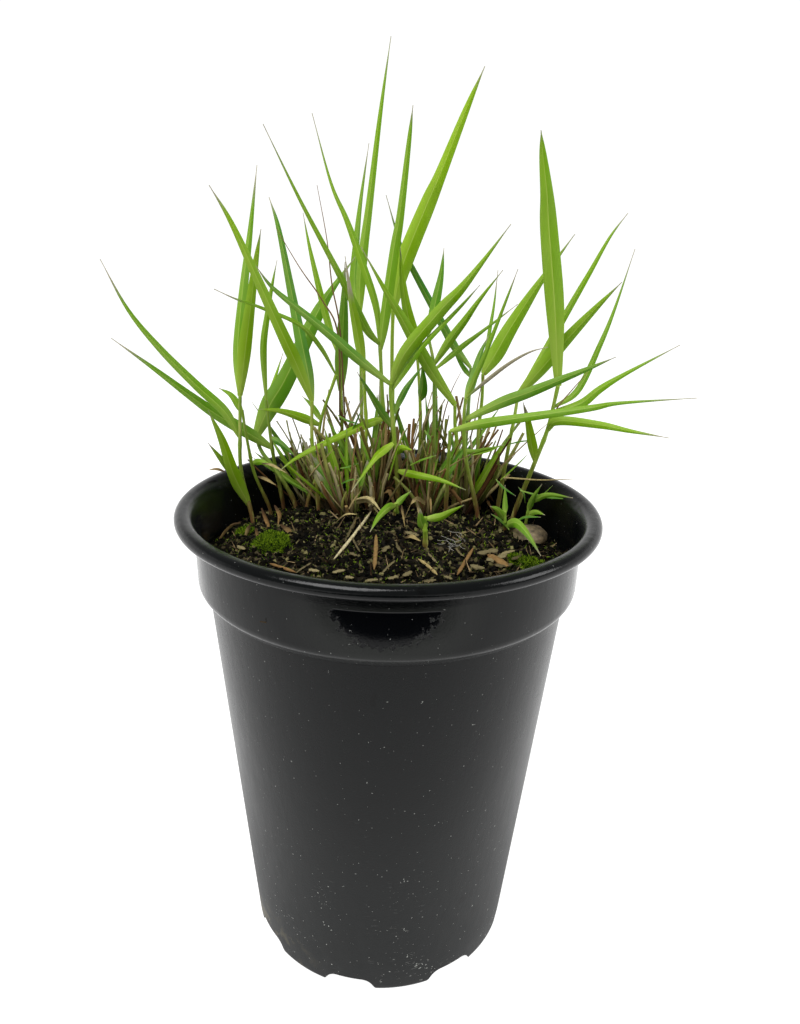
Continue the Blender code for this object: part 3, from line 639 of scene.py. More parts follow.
@dataclass(frozen=True)
class PlasticFinish(Finish):
    """The pot's dark plastic: half gloss, chalky towards its foot, with white specks."""

    name: str = "pot_plastic"
    roughness: float = 0.10
    shine: float = 0.19
    relief: float = 0.00014
    shade: Colour = (0.0018, 0.0023, 0.0024)
    scuff: Colour = (0.0075, 0.0090, 0.0088)
    # Painted reflection: the grey haze round the dark patch, and the dark patch itself.
    reflection_haze: Colour = (0.020, 0.0215, 0.0195)
    patch: Colour = (0.0012, 0.0015, 0.0022)
    black: Colour = (0.0, 0.0, 0.0)
    speck: Colour = (0.42, 0.43, 0.40)
    soil: Colour = (0.10, 0.085, 0.045)
    height: float = POT.height * MM
    collar: tuple[float, float] = (0.80, 0.85)
    patch_x: float = -0.001
    patch_top: float = 0.1268
    patch_half: float = 0.0120
    patch_deep: float = 0.0092
    cloud_scale: float = 34.0
    patchy_scale: float = 75.0
    smear_scale: float = 130.0
    soil_scale: float = 210.0
    fine_scale: float = 420.0
    shred_scale: float = 620.0
    dust_scale: float = 1500.0
    grain_scale: float = 2600.0
    line_scale: float = 14.0

    def paint(self, nodes: Nodes) -> Paint:
        """Clean gloss above with a painted dark reflection ringed by painted grey haze on the
        collar's front; dull film, scratches, specks and splashed soil below.
        """
        where = nodes.place()
        x, y, z = nodes.parts(where)
        rise = z / self.height
        cloud = nodes.noise(where, self.cloud_scale, 5.0, 0.6)
        grain = nodes.noise(where, self.grain_scale, 2.0)
        fine = nodes.noise(nodes.place((1, 1, 0.35)), self.fine_scale, 4.0)
        low = 1.0 - nodes.step(rise + (cloud - 0.5) * 0.35, 0.05, 0.62)
        film = low * (0.35 + cloud * 0.65)
        colour = nodes.mix(film * 0.62, self.shade, self.scuff)

        smear = nodes.noise(nodes.place((1.0, 1.0, 0.6)), self.smear_scale, 4.0)
        # Painted reflection: a dark patch on the collar's front, with painted grey haze round it.
        painted_reflection, near = self._painted_reflection(nodes, where, x, y, z)
        colour = nodes.mix(near * (1.0 - painted_reflection) * 0.6, colour, self.reflection_haze)
        colour = nodes.mix(painted_reflection * 0.9, colour, self.patch)
        colour = nodes.mix(nodes.step(smear, 0.66, 0.70) * 0.7, colour, self.black)
        marks = self._marks(nodes, where, fine, low)
        colour = nodes.mix(marks, colour, self.speck)

        corner = (1.0 - nodes.step(rise, 0.02, 0.13)) * nodes.step(x * -1.0, 0.014, 0.036)
        crumbs = corner * nodes.step(nodes.noise(where, self.soil_scale, 4.0), 0.5, 0.62)
        colour = nodes.mix(crumbs * 0.8, colour, self.soil)

        body = (1.0 - nodes.step(rise, *self.collar)) * 0.14
        rough = self.roughness + fine * 0.08 + film * 0.34 + body + marks * 0.3
        rough = rough * (1.0 - painted_reflection * 0.45)
        relief = (fine * 0.35 + cloud * 0.65 + grain * 0.22) * (1.0 - painted_reflection * 0.75) + marks * 0.5
        return colour, rough, relief, self.relief

    def _marks(self, nodes: Nodes, where: Wire, fine: Wire, low: Wire) -> Wire:
        """The pale specks, flakes and scratches.

        Args:
            nodes: The finish's nodes.
            where: The place.
            fine: A fine pattern that breaks up the scratches.
            low: How low on the wall a place is.

        Returns:
            How pale a place is.
        """
        patchy = nodes.step(nodes.noise(where, self.patchy_scale, 3.0), 0.48, 0.64)
        dust = nodes.noise(where, self.dust_scale, 2.0, 0.4)
        dots = nodes.step(dust + low * patchy * 0.055, 0.745, 0.775) * (0.45 + low * 0.55)
        shred = nodes.noise(nodes.place((1.0, 1.0, 1.6)), self.shred_scale, 3.0)
        blots = nodes.step(shred + low * 0.03, 0.71, 0.745) * low * patchy
        level = nodes.noise(nodes.place((3.0, 3.0, 30.0)), self.line_scale, 2.0)
        lines = 1.0 - nodes.step(abs(level - 0.5), 0.0, 0.005)
        lines = lines * nodes.step(fine, 0.5, 0.62) * low * patchy
        return (dots + blots * 0.8 + lines * 0.4).least(1.0)

    def _painted_reflection(self, nodes: Nodes, where: Wire, x: Wire, y: Wire, z: Wire) -> tuple[Wire, Wire]:
        """A painted dark reflection with a ragged lower edge at the front of the collar, where the
        plastic is also smoother.

        Args:
            nodes: The finish's nodes.
            where: The place.
            x: The place's part along X.
            y: Its part along Y.
            z: Its part along Z.

        Returns:
            How much a place is in the painted reflection, and how near to it, for the painted grey
            haze round it.
        """
        down = (self.patch_top - z) / self.patch_deep
        apart = abs((x - self.patch_x) / self.patch_half) ** 2.0 + abs(down) ** 2.0
        ragged = nodes.noise(where, self.shred_scale, 4.0, 0.65)
        front = nodes.step(y * -1.0, 0.040, 0.045) * nodes.step(z / self.height, 0.835, 0.845)
        inside = 1.0 - nodes.step(apart + (ragged - 0.5) * 1.7, 0.92, 1.05)
        near = (1.0 - nodes.step(apart, 1.0, 5.0)) * nodes.step(down, -0.16, -0.02)
        return inside * nodes.step(down, 0.0, 0.03) * front, near * front


@dataclass(frozen=True)
class MixFinish(Finish):
    """Damp peat: nearly black, with brown crumbs."""

    name: str = "growing_mix"
    roughness: float = 0.85
    shine: float = 0.1
    grain_scale: float = 700.0
    cloud_scale: float = 300.0
    relief: float = 0.0006
    tints: tuple[tuple[float, Colour], ...] = (
        (0.0, (0.003, 0.0026, 0.002)), (0.6, (0.009, 0.007, 0.004)),
        (0.85, (0.030, 0.022, 0.011)), (1.0, (0.10, 0.08, 0.04)),
    )
    damp: Colour = (0.004, 0.0035, 0.0025)

    def paint(self, nodes: Nodes) -> Paint:
        """Dark crumbs of several browns, some damp and shining."""
        where = nodes.place()
        near, pick = nodes.specks(where, self.grain_scale)
        cloud = nodes.noise(where, self.cloud_scale, 5.0, 0.7)
        tint = nodes.ramp(pick, *self.tints)
        colour = nodes.mix(nodes.step(cloud, 0.4, 0.7) * 0.6, tint, self.damp)
        rough = self.roughness - nodes.step(cloud, 0.55, 0.7) * 0.4
        return colour, rough, cloud + near, self.relief


@dataclass(frozen=True)
class CrumbFinish(Finish):
    """One sort of crumb on the mix, each crumb tinted by its own number."""

    name: str = "crumb"
    roughness: float = 0.8
    shine: float = 0.05
    dark: Colour = (0.008, 0.007, 0.005)
    pale: Colour = (0.05, 0.036, 0.02)
    cloud_scale: float = 1500.0
    relief: float = 0.0003

    def paint(self, nodes: Nodes) -> Paint:
        """Between the dark and the pale tint, by crumb."""
        cloud = nodes.noise(nodes.place(), self.cloud_scale)
        pick = nodes.attribute("hue") ** 1.6 + (cloud - 0.5) * 0.5
        colour = nodes.mix(pick.least(1.0).most(0.0), self.dark, self.pale)
        return colour, self.roughness - cloud * 0.15, cloud, self.relief


@dataclass(frozen=True)
class StoneFinish(Finish):
    """A brown-grey pebble with a darker skin in patches."""

    name: str = "stone"
    cloud_scale: float = 170.0
    grain_scale: float = 1500.0
    relief: float = 0.0003
    tints: tuple[tuple[float, Colour], ...] = (
        (0.36, (0.04, 0.030, 0.016)), (0.50, (0.17, 0.125, 0.066)), (0.66, (0.34, 0.27, 0.15)),
    )

    def paint(self, nodes: Nodes) -> Paint:
        """Soft patches and fine grain."""
        where = nodes.place()
        cloud = nodes.noise(where, self.cloud_scale, 4.0)
        grain = nodes.noise(where, self.grain_scale)
        colour = nodes.ramp(cloud * 0.8 + grain * 0.2, *self.tints)
        return colour, self.roughness + grain * 0.25, cloud + grain * 0.4, self.relief


@dataclass
class Strand:
    """A run of points for the Sweeper: each point's place, half width, sideways direction and
    share of the way along, and the whole strand's hue and dryness."""

    places: list[Vector]
    half: list[float]
    side: list[Vector]
    along: list[float]
    hue: float
    dry: float = 1.0


@dataclass(frozen=True)
class Section:
    """A swept section: its number of sides, its thickness for its width, and its fold."""

    sides: int
    thickness: float = 1.0
    fold: float = 0.0


class Sweeper:
    """Sweeps a section along strands with Geometry Nodes.

    The swept skin keeps what the strands' points carry for its finish.
    """

    def __init__(self) -> None:
        """Build the node tree once."""
        self.tree = self._build()

    @staticmethod
    def _build() -> bpy.types.NodeTree:
        """The tree: strands to curves, a flattened and folded ring as the section, then a skin."""
        kinds = {"Sides": "Int", "Thickness": "Float", "Fold": "Float", "Finish": "Material"}
        nodes, given = new_tree("sweep", kinds)
        curves = nodes.add("GeometryNodeMeshToCurve", {}, {0: given["Geometry"]})
        side, half = (
            nodes.add("GeometryNodeInputNamedAttribute", {"data_type": kind}, {0: name})
            for name, kind in (("side", "FLOAT_VECTOR"), ("half", "FLOAT"))
        )
        values = {0: curves, "Normal": side}
        curves = nodes.add("GeometryNodeSetCurveNormal", {"mode": "FREE"}, values)
        values = {"Resolution": given["Sides"], "Radius": 1.0}
        ring = nodes.add("GeometryNodeCurvePrimitiveCircle", {"mode": "RADIUS"}, values)
        across, rise, _ = nodes.parts(nodes.add("GeometryNodeInputPosition"))
        folded = rise * given["Thickness"] - abs(across) * given["Fold"]
        there = nodes.add("ShaderNodeCombineXYZ", {}, {0: across, 1: folded})
        settings = {"data_type": "FLOAT", "domain": "POINT"}
        values = {0: ring, "Name": "across", "Value": across}
        ring = nodes.add("GeometryNodeStoreNamedAttribute", settings, values)
        ring = nodes.add("GeometryNodeSetPosition", {}, {0: ring, "Position": there})
        values = {"Curve": curves, "Profile Curve": ring, "Fill Caps": True, "Scale": half}
        skin = nodes.add("GeometryNodeCurveToMesh", {}, values)
        smooth = nodes.add("GeometryNodeSetShadeSmooth", {}, {0: skin})
        bent = nodes.add("GeometryNodeInputMeshEdgeAngle").above(1.0)
        values = {0: smooth, "Selection": bent, "Shade Smooth": False}
        smooth = nodes.add("GeometryNodeSetShadeSmooth", {"domain": "EDGE"}, values)
        return nodes.finished(smooth, given["Finish"])

    def sweep(
        self, name: str, strands: Sequence[Strand], section: Section, finish: bpy.types.Material
    ) -> bpy.types.Mesh:
        """Sweep these strands.

        Args:
            name: The new mesh's name.
            strands: The strands.
            section: The section.
            finish: The skin's finish.

        Returns:
            A plain mesh with its finish.
        """
        points = bpy.data.meshes.new(name + "_strands")
        verts: list[Vector] = []
        edges: list[tuple[int, int]] = []
        for strand in strands:
            first = len(verts)
            verts += [place * MM for place in strand.places]
            edges += [(first + i, first + i + 1) for i in range(len(strand.places) - 1)]
        points.from_pydata(verts, edges, [])
        carried = {
            "half": [half * MM for strand in strands for half in strand.half],
            "along": [share for strand in strands for share in strand.along],
            "hue": [strand.hue for strand in strands for _ in strand.places],
            "dry": [strand.dry for strand in strands for _ in strand.places],
        }
        for key, found in carried.items():
            points.attributes.new(key, "FLOAT", "POINT").data.foreach_set("value", found)
        sides = [part for strand in strands for side in strand.side for part in side]
        points.attributes.new("side", "FLOAT_VECTOR", "POINT").data.foreach_set("vector", sides)
        values = {"Sides": section.sides, "Thickness": section.thickness, "Fold": section.fold}
        return applied(name, points, self.tree, {**values, "Finish": finish})

    def lay(
        self, name: str, strands: Sequence[Strand], section: Section, finish: bpy.types.Material,
        stuff: Stuff = Stuff.STRAW, nodes: Iterable[str] = (),
    ) -> None:
        """Sweep these strands as one piece, and settle it.

        Args:
            name: The piece's name.
            strands: The strands.
            section: The section.
            finish: The skin's finish.
            stuff: What the piece is made of.
            nodes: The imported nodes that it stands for.
        """
        settle(joined(name, [self.sweep(name, strands, section, finish)]), stuff, nodes)


def applied(
    name: str, mesh: bpy.types.Mesh, tree: bpy.types.NodeTree, values: dict[str, object]
) -> bpy.types.Mesh:
    """Run a Geometry Nodes tree on a mesh.

    Args:
        name: The result's name.
        mesh: The mesh that goes in, which is removed.
        tree: The node tree.
        values: The tree's inputs, by name.

    Returns:
        A plain mesh.
    """
    host = new_piece(name + "_host", mesh)
    modifier = host.modifiers.new("Nodes", "NODES")
    modifier.node_group = tree
    for item in tree.interface.items_tree:
        if item.in_out == "INPUT" and item.name in values:
            modifier[item.identifier] = values[item.name]
    bpy.context.view_layer.update()
    seen = host.evaluated_get(bpy.context.evaluated_depsgraph_get())
    made = bpy.data.meshes.new_from_object(seen)
    made.name = name
    bpy.data.objects.remove(host)
    bpy.data.meshes.remove(mesh)
    return made


def joined(name: str, meshes: Sequence[bpy.types.Mesh]) -> bpy.types.Object:
    """One piece of several meshes, each with its own finish.

    Args:
        name: The piece's name.
        meshes: The meshes, which are used up.

    Returns:
        The piece.
    """
    parts = [new_piece(f"{name}_{k}", mesh) for k, mesh in enumerate(meshes)]
    with bpy.context.temp_override(active_object=parts[0], selected_editable_objects=parts):
        bpy.ops.object.join()
    parts[0].name = name
    parts[0].data.name = name
    return parts[0]


class Crumb(Enum):
    """The shapes that a Scatter strews."""

    LUMP = "lump"
    FIBRE = "fibre"
    LEAFLET = "leaflet"


@dataclass(frozen=True)
class Scatter:
    """Strews small shapes over a surface with Geometry Nodes.

    The sizes are in millimetres, density is in shapes a square centimetre, and lie is how flat
    the shapes lie: 0 stands them on the surface and 1 lays them any way.
    """

    shape: Crumb
    density: float
    size: tuple[float, float]
    stretch: tuple[float, float, float]
    lie: float
    seed: int
    most_turn: float = 1.6
    size_power: float = 2.2
    lump_scale: float = 1.7

    def _grain(self, nodes: Nodes) -> Wire:
        """The shape that is strewn, one unit in size."""
        if self.shape is Crumb.LUMP:
            ball = nodes.add("GeometryNodeMeshIcoSphere", {}, {"Radius": 0.5, "Subdivisions": 1})
            spot = nodes.add("GeometryNodeInputPosition")
            values = {"Vector": spot, "Scale": self.lump_scale}
            rough = nodes.add("ShaderNodeTexNoise", {}, values, "Color")
            values = {0: rough, 1: (0.5, 0.5, 0.5)}
            shift = nodes.add("ShaderNodeVectorMath", {"operation": "SUBTRACT"}, values)
            return nodes.add("GeometryNodeSetPosition", {}, {0: ball, "Offset": shift})
        sides, top = (3, 0.35) if self.shape is Crumb.FIBRE else (4, 0.05)
        values = {"Vertices": sides, "Radius Top": 0.5 * top, "Radius Bottom": 0.5, "Depth": 1.0}
        return nodes.add("GeometryNodeMeshCone", {}, values)

    def tree(self) -> bpy.types.NodeTree:
        """Build the node tree.

        Returns:
            A tree with the inputs Density, Smallest, Largest and Finish.
        """
        kinds = {"Density": "Float", "Smallest": "Float", "Largest": "Float", "Finish": "Material"}
        nodes, given = new_tree(f"scatter_{self.shape.value}", kinds)
        values = {0: given["Geometry"], "Density": given["Density"], "Seed": self.seed}
        points = nodes.add("GeometryNodeDistributePointsOnFaces", {}, values)
        upright = Wire(nodes, points.socket.node.outputs["Rotation"])
        most = self.most_turn * self.lie
        values = {0: (-most, -most, 0.0), 1: (most, most, math.tau), "Seed": self.seed + 1}
        whirl = nodes.add("FunctionNodeRandomValue", {"data_type": "FLOAT_VECTOR"}, values)
        turn = nodes.add("FunctionNodeEulerToRotation", {}, {0: whirl})
        settings = {"rotation_space": "LOCAL"}
        turned = nodes.add("FunctionNodeRotateRotation", settings, {0: upright, 1: turn})
        size, hue = (
            nodes.add("FunctionNodeRandomValue", {"data_type": "FLOAT"},
                      {2: 0.0, 3: 1.0, "Seed": self.seed + number}, 1)
            for number in (2, 3)
        )
        low, high = given["Smallest"], given["Largest"]
        size = low + (high - low) * size ** self.size_power
        values = {0: self.stretch, "Scale": size}
        scale = nodes.add("ShaderNodeVectorMath", {"operation": "SCALE"}, values)
        values = {0: points, "Instance": self._grain(nodes), "Rotation": turned, "Scale": scale}
        strewn = nodes.add("GeometryNodeInstanceOnPoints", {}, values)
        settings = {"data_type": "FLOAT", "domain": "INSTANCE"}
        values = {0: strewn, "Name": "hue", "Value": hue}
        strewn = nodes.add("GeometryNodeStoreNamedAttribute", settings, values)
        return nodes.finished(strewn, given["Finish"])

    def strew(
        self, name: str, ground: bpy.types.Mesh, finish: bpy.types.Material
    ) -> bpy.types.Mesh:
        """Strew the shapes over a copy of the ground.

        Args:
            name: The new mesh's name.
            ground: The surface to strew over.
            finish: The shapes' finish.

        Returns:
            A plain mesh of the shapes alone.
        """
        values = {"Density": self.density * 1e4, "Smallest": self.size[0] * MM,
                  "Largest": self.size[1] * MM, "Finish": finish}
        return applied(name, ground.copy(), self.tree(), values)


def disc_of(
    name: str, middle: Vector, half: tuple[float, float], rings: int, sides: int,
    height: Callable[[float, float, float], float],
) -> bpy.types.Mesh:
    """A round sheet of faces over the mix.

    Args:
        name: The mesh's name.
        middle: The sheet's middle, in millimetres.
        half: Its half sizes along X and Y, in millimetres.
        rings: How many rings of faces.
        sides: How many faces in a ring.
        height: Gives the height in millimetres from x, y and the share of the way out.

    Returns:
        The mesh, in metres.
    """
    bm = bmesh.new()
    rows = [[bm.verts.new(Vector((middle.x, middle.y, height(middle.x, middle.y, 0.0))) * MM)]]
    for share in shares(rings)[1:]:
        row = []
        for k in range(sides):
            angle = math.tau * k / sides
            x = middle.x + half[0] * share * math.cos(angle)
            y = middle.y + half[1] * share * math.sin(angle)
            row.append(bm.verts.new(Vector((x, y, height(x, y, share))) * MM))
        rows.append(row)
    for k in range(sides):
        bm.faces.new((rows[0][0], rows[1][k], rows[1][(k + 1) % sides]))
        for low, high in zip(rows[1:], rows[2:]):
            bm.faces.new((low[k], high[k], high[(k + 1) % sides], low[(k + 1) % sides]))
    return smooth_mesh(name, bm)


def with_skirt(mesh: bpy.types.Mesh, drop: float, shrink: float) -> None:
    """Close an open sheet below: its edge goes down to a flat foot.

    Args:
        mesh: The sheet, which is changed.
        drop: How far below its edge's middle height the foot lies, in metres.
        shrink: How much smaller the foot is than the edge.
    """
    bm = bmesh.new()
    bm.from_mesh(mesh)
    rim = [edge for edge in bm.edges if edge.is_boundary]
    made = bmesh.ops.extrude_edge_only(bm, edges=rim)["geom"]
    foot = [item for item in made if isinstance(item, bmesh.types.BMVert)]
    level = sum(v.co.z for v in foot) / len(foot) - drop
    for vert in foot:
        vert.co = Vector((vert.co.x * shrink, vert.co.y * shrink, level))
    last = [edge for edge in bm.edges if edge.is_boundary]
    bmesh.ops.contextual_create(bm, geom=last)
    bmesh.ops.recalc_face_normals(bm, faces=bm.faces)
    bm.to_mesh(mesh)
    bm.free()


@dataclass
class NurseryPot:
    """The pot: a turned wall with a rolled rim, a bead, a collar, a step and drainage openings.

    Each row of steps is a run of the wall's points, as millimetres out and up from one corner.
    """

    sizes: PotSizes = POT
    steps: int = 168
    foot_round: float = 2.0
    wall_rows: int = 12
    ledge_steps: Outline = ((0.0, 0.0), (0.35, 0.25), (0.95, 0.95))
    collar_steps: Outline = ((-1.0, -1.45), (-0.45, -0.85), (-0.12, -0.1), (0.0, 0.9), (0.15, 7.0))
    bead_below: float = 0.9
    bead_radius: float = 0.75
    bead_out: float = 0.45
    bead_foot: Outline = ((0.3, -0.9),)
    mouth_steps: Outline = ((2.4, -0.02), (1.5, -0.35), (0.7, -1.3))
    notch_round: float = 1.8
    notch_out: float = 1.5
    sharp_deg: float = 42.0

    def _arc(
        self, middle: tuple[float, float], radius: float, start: float, end: float, count: int
    ) -> list[tuple[float, float]]:
        """Points of an arc in the profile, in (radius, height), between two angles in degrees."""
        angles = [math.radians(start + (end - start) * share) for share in shares(count)]
        x, z = middle
        return [(x + radius * math.cos(a), z + radius * math.sin(a)) for a in angles]

    def _beside(self, corner: tuple[float, float], steps: Outline) -> list[tuple[float, float]]:
        """The profile's points that lie these steps out and up from a corner."""
        return [(corner[0] + out, corner[1] + up) for out, up in steps]

    def profile(self) -> list[tuple[float, float]]:
        """The wall in section: up the outside, over the rim and down the inside."""
        s, low = self.sizes, self.foot_round
        half = s.lip / 2
        bead_z = s.height - s.lip - self.bead_below
        outside = [(0.0, 0.0), (s.base_radius / 2, 0.0)]
        outside += self._arc((s.base_radius - low, low), low, -90, 0, 5)
        for share in shares(self.wall_rows)[1:-1]:
            out = s.base_radius + (s.ledge_radius - s.base_radius) * share
            outside.append((out, low + (s.ledge_z - low) * share))
        step = [
            *self._beside((s.ledge_radius, s.ledge_z), self.ledge_steps),
            *self._beside((s.collar_radius, s.collar_foot_z), self.collar_steps),
            *self._beside((s.collar_radius, bead_z), self.bead_foot),
        ]
        bead = self._arc((s.collar_radius + self.bead_out, bead_z), self.bead_radius, -70, 70, 5)
        lip = self._arc((s.rim_radius - half, s.height - half), half, -100, 95, 14)
        mouth = self._beside((s.collar_radius, s.height), self.mouth_steps)
        mouth.append((s.collar_radius + 0.2 - s.wall, s.height - s.lip))
        inside = [
            (s.collar_radius - s.wall, s.collar_foot_z + 0.4),
            (s.ledge_radius - s.wall, s.ledge_z + 0.6),
            (s.base_radius + 0.5 - s.wall, s.floor_z), (0.0, s.floor_z),
        ]
        return outside + step + bead + lip + mouth + inside

    def _notch(self, angle: float) -> bpy.types.Object:
        """A cutter for one drainage opening, with round corners."""
        s = self.sizes
        bm = bmesh.new()
        bmesh.ops.create_cube(bm, size=1.0)
        for vert in bm.verts:
            x, y, z = vert.co
            width = s.notch_top if z > 0 else 2 * s.notch_mouth - s.notch_top
            vert.co = Vector((x * s.notch_depth, y * width, z * 2 * s.notch_height)) * MM
        uprights = [
            edge for edge in bm.edges
            if abs((edge.verts[0].co - edge.verts[1].co).normalized().x) > 0.9
        ]
        bmesh.ops.bevel(bm, geom=uprights, offset=self.notch_round * MM, segments=5, profile=0.5,
                        affect="EDGES")
        notch = new_piece("notch", smooth_mesh("notch", bm))
        way = Vector((math.cos(angle), math.sin(angle), 0.0))
        notch.location = way * (s.base_radius + self.notch_out) * MM
        notch.rotation_euler.z = angle
        return notch

    def build(self, finish: bpy.types.Material) -> None:
        """Turn the wall and cut its openings.

        Args:
            finish: The plastic.
        """
        bm = bmesh.new()
        verts = [bm.verts.new((r * MM, 0.0, z * MM)) for r, z in self.profile()]
        for a, b in zip(verts, verts[1:]):
            bm.edges.new((a, b))
        bmesh.ops.spin(bm, geom=bm.verts[:] + bm.edges[:], axis=(0, 0, 1), cent=(0, 0, 0),
                       angle=math.tau, steps=self.steps, use_merge=True)
        bmesh.ops.remove_doubles(bm, verts=bm.verts, dist=1e-6)
        bmesh.ops.recalc_face_normals(bm, faces=bm.faces)
        pot = new_piece("nursery_pot", smooth_mesh("pot_wall", bm))
        cutters = []
        for k in range(self.sizes.notches):
            angle = self.sizes.first_notch_deg + 360.0 * k / self.sizes.notches
            cutters.append(self._notch(math.radians(angle)))
            cut = pot.modifiers.new("Opening", "BOOLEAN")
            cut.operation, cut.solver, cut.object = "DIFFERENCE", "EXACT", cutters[-1]
        bpy.context.view_layer.update()
        seen = pot.evaluated_get(bpy.context.evaluated_depsgraph_get())
        done = bpy.data.meshes.new_from_object(seen)
        for piece in (pot, *cutters):
            bpy.data.objects.remove(piece)
        done.materials.clear()
        done.materials.append(finish)
        done.shade_smooth()
        done.set_sharp_from_angle(angle=math.radians(self.sharp_deg))
        settle(new_piece("nursery_pot", done), Stuff.PLASTIC, ["pot"])


@dataclass
class GrowingMix:
    """The growing mix: a rough damp crown strewn with crumbs, fibres and bits of bark."""

    sizes: MixSizes = MIX
    rings: int = 66
    sides: int = 210
    edge_gap: float = 0.5
    layer: float = 1.3
    lumps: Outline = ((0.75, 0.42), (0.5, 1.1), (0.28, 2.6))
    skirt_drop: float = 6.0
    skirt_shrink: float = 0.94

    def ground(self, x: float, y: float, share: float) -> float:
        """The rough surface's height in millimetres at a place."""
        spot = Vector((x, y, self.layer))
        rough = sum(rise * noise.noise(spot * rate) for rise, rate in self.lumps)
        return self.sizes.height(x, y) + rough * (1.0 - 0.7 * share**8)

    def build(
        self, soil: bpy.types.Material, crumbs: Sequence[tuple[Scatter, bpy.types.Material]]
    ) -> None:
        """Build the mix and strew it.

        Args:
            soil: The finish of the mix itself.
            crumbs: What is strewn over it, each with its finish.
        """
        half = (POT.collar_radius - POT.wall - self.edge_gap,) * 2
        top = disc_of("mix_top", Vector((0, 0, 0)), half, self.rings, self.sides, self.ground)
        strewn = [
            scatter.strew(f"crumbs_{k}", top, finish) for k, (scatter, finish) in enumerate(crumbs)
        ]
        with_skirt(top, self.skirt_drop * MM, self.skirt_shrink)
        top.materials.append(soil)
        settle(joined("growing_mix", [top]), Stuff.MIX, ["soil"])
        for k, mesh in enumerate(strewn):
            settle(new_piece(f"mix_crumbs_{k}", mesh), Stuff.MIX)


@dataclass
class Grass:
    """The leafy stems: each a round culm and the folded blades that grow from it."""

    shoots: Sequence[Shoot]
    sweeper: Sweeper
    blade_steps: int = 30
    culm_steps: int = 26
    base_steps: int = 40
    blade_section: Section = Section(12, 0.17, 0.22)
    culm_section: Section = Section(9)
    joint_swell: float = 0.22
    joint_every: float = 8.5
    culm_taper: float = 0.35
    fullness: float = 0.575
    neck: float = 0.36
    neck_share: float = 0.28
    point_from: float = 0.20
    point_power: float = 1.5
    finest: float = 0.10
    twist_deg: float = 9.0
    twist_rate: float = 3.2
    waves: tuple[float, float] = (1.7, 2.3)

    def half_width(self, along: float, width: float) -> float:
        """Half a blade's width at this share of its length: a narrow neck and a long fine point."""
        opened = math.sin(min(1.0, along / self.neck_share) * math.pi / 2)
        neck = self.neck + (1.0 - self.neck) * opened
        past = max(0.0, along - self.point_from) / (1.0 - self.point_from)
        return max(self.finest, self.fullness * width * neck * (1.0 - past**self.point_power))

    def culm_places(self, shoot: Shoot) -> list[Vector]:
        """The culm's points, from below the mix to its top, in millimetres."""
        x, y = shoot.root
        foot = Vector((x, y, MIX.height(x, y)))
        points = [foot - Vector((0, 0, MIX.sink)), foot + Vector((0, 0, 1.5))]
        return points + [EYE.sighted(*point) for point in shoot.culm]

    def culm(self, shoot: Shoot) -> Strand:
        """The culm as a strand, a little thicker at its joints."""
        places = smooth_path(self.culm_places(shoot), self.culm_steps)
        along, half = shares(self.culm_steps), []
        for i, share in enumerate(along):
            joint = max(0.0, math.cos(i * math.tau / self.joint_every)) ** 6
            swell = 1.0 + self.joint_swell * joint
            half.append(shoot.radius * (1.0 - self.culm_taper * share) * swell)
        side = square_to(places, Vector((0, 1, 0)))
        return Strand(places, half, side, along, shoot.blades[0].hue, 0.0)

    def blade(self, blade: Blade, dense: Sequence[Vector], wave: float) -> Strand:
        """A blade as a strand.

        Args:
            blade: The blade.
            dense: Closely spaced places on its culm.
            wave: Where in its slow twist the blade starts.

        Returns:
            The strand.
        """
        column, row = blade.path[0]
        base = min(dense, key=lambda p: (EYE.sighted(column, row, p.y) - p).length)
        last = len(blade.path) - 1
        points = [base]
        for i, (column, row) in enumerate(blade.path[1:], 1):
            points.append(EYE.sighted(column, row, base.y + (blade.behind - base.y) * i / last))
        places = smooth_path(points, self.blade_steps)
        along, side = shares(self.blade_steps), []
        for share, place, way in zip(along, places, directions(places)):
            across = way.cross(place - EYE.place).normalized()
            face = across.cross(way).normalized()
            twist = self.twist_deg * math.sin(self.twist_rate * share + wave)
            turn = math.radians(blade.turn + twist)
            side.append((across * math.cos(turn) + face * math.sin(turn)).normalized())
        half = [self.half_width(share, blade.width) for share in along]
        return Strand(places, half, side, along, blade.hue, blade.dry)

    def build(self, leaf: bpy.types.Material, culm: bpy.types.Material) -> None:
        """Build every leafy stem.

        Args:
            leaf: The blades' finish.
            culm: The culms' finish.
        """
        sweep = self.sweeper.sweep
        for number, shoot in enumerate(self.shoots):
            dense = smooth_path(self.culm_places(shoot), self.base_steps)
            first = self.waves[0] * number
            blades = [
                self.blade(blade, dense, first + self.waves[1] * k)
                for k, blade in enumerate(shoot.blades)
            ]
            meshes = [
                sweep(f"{shoot.name}_blades", blades, self.blade_section, leaf),
                sweep(f"{shoot.name}_culm", [self.culm(shoot)], self.culm_section, culm),
            ]
            settle(joined(f"{shoot.name}_grown", meshes), Stuff.LEAF, [shoot.name])


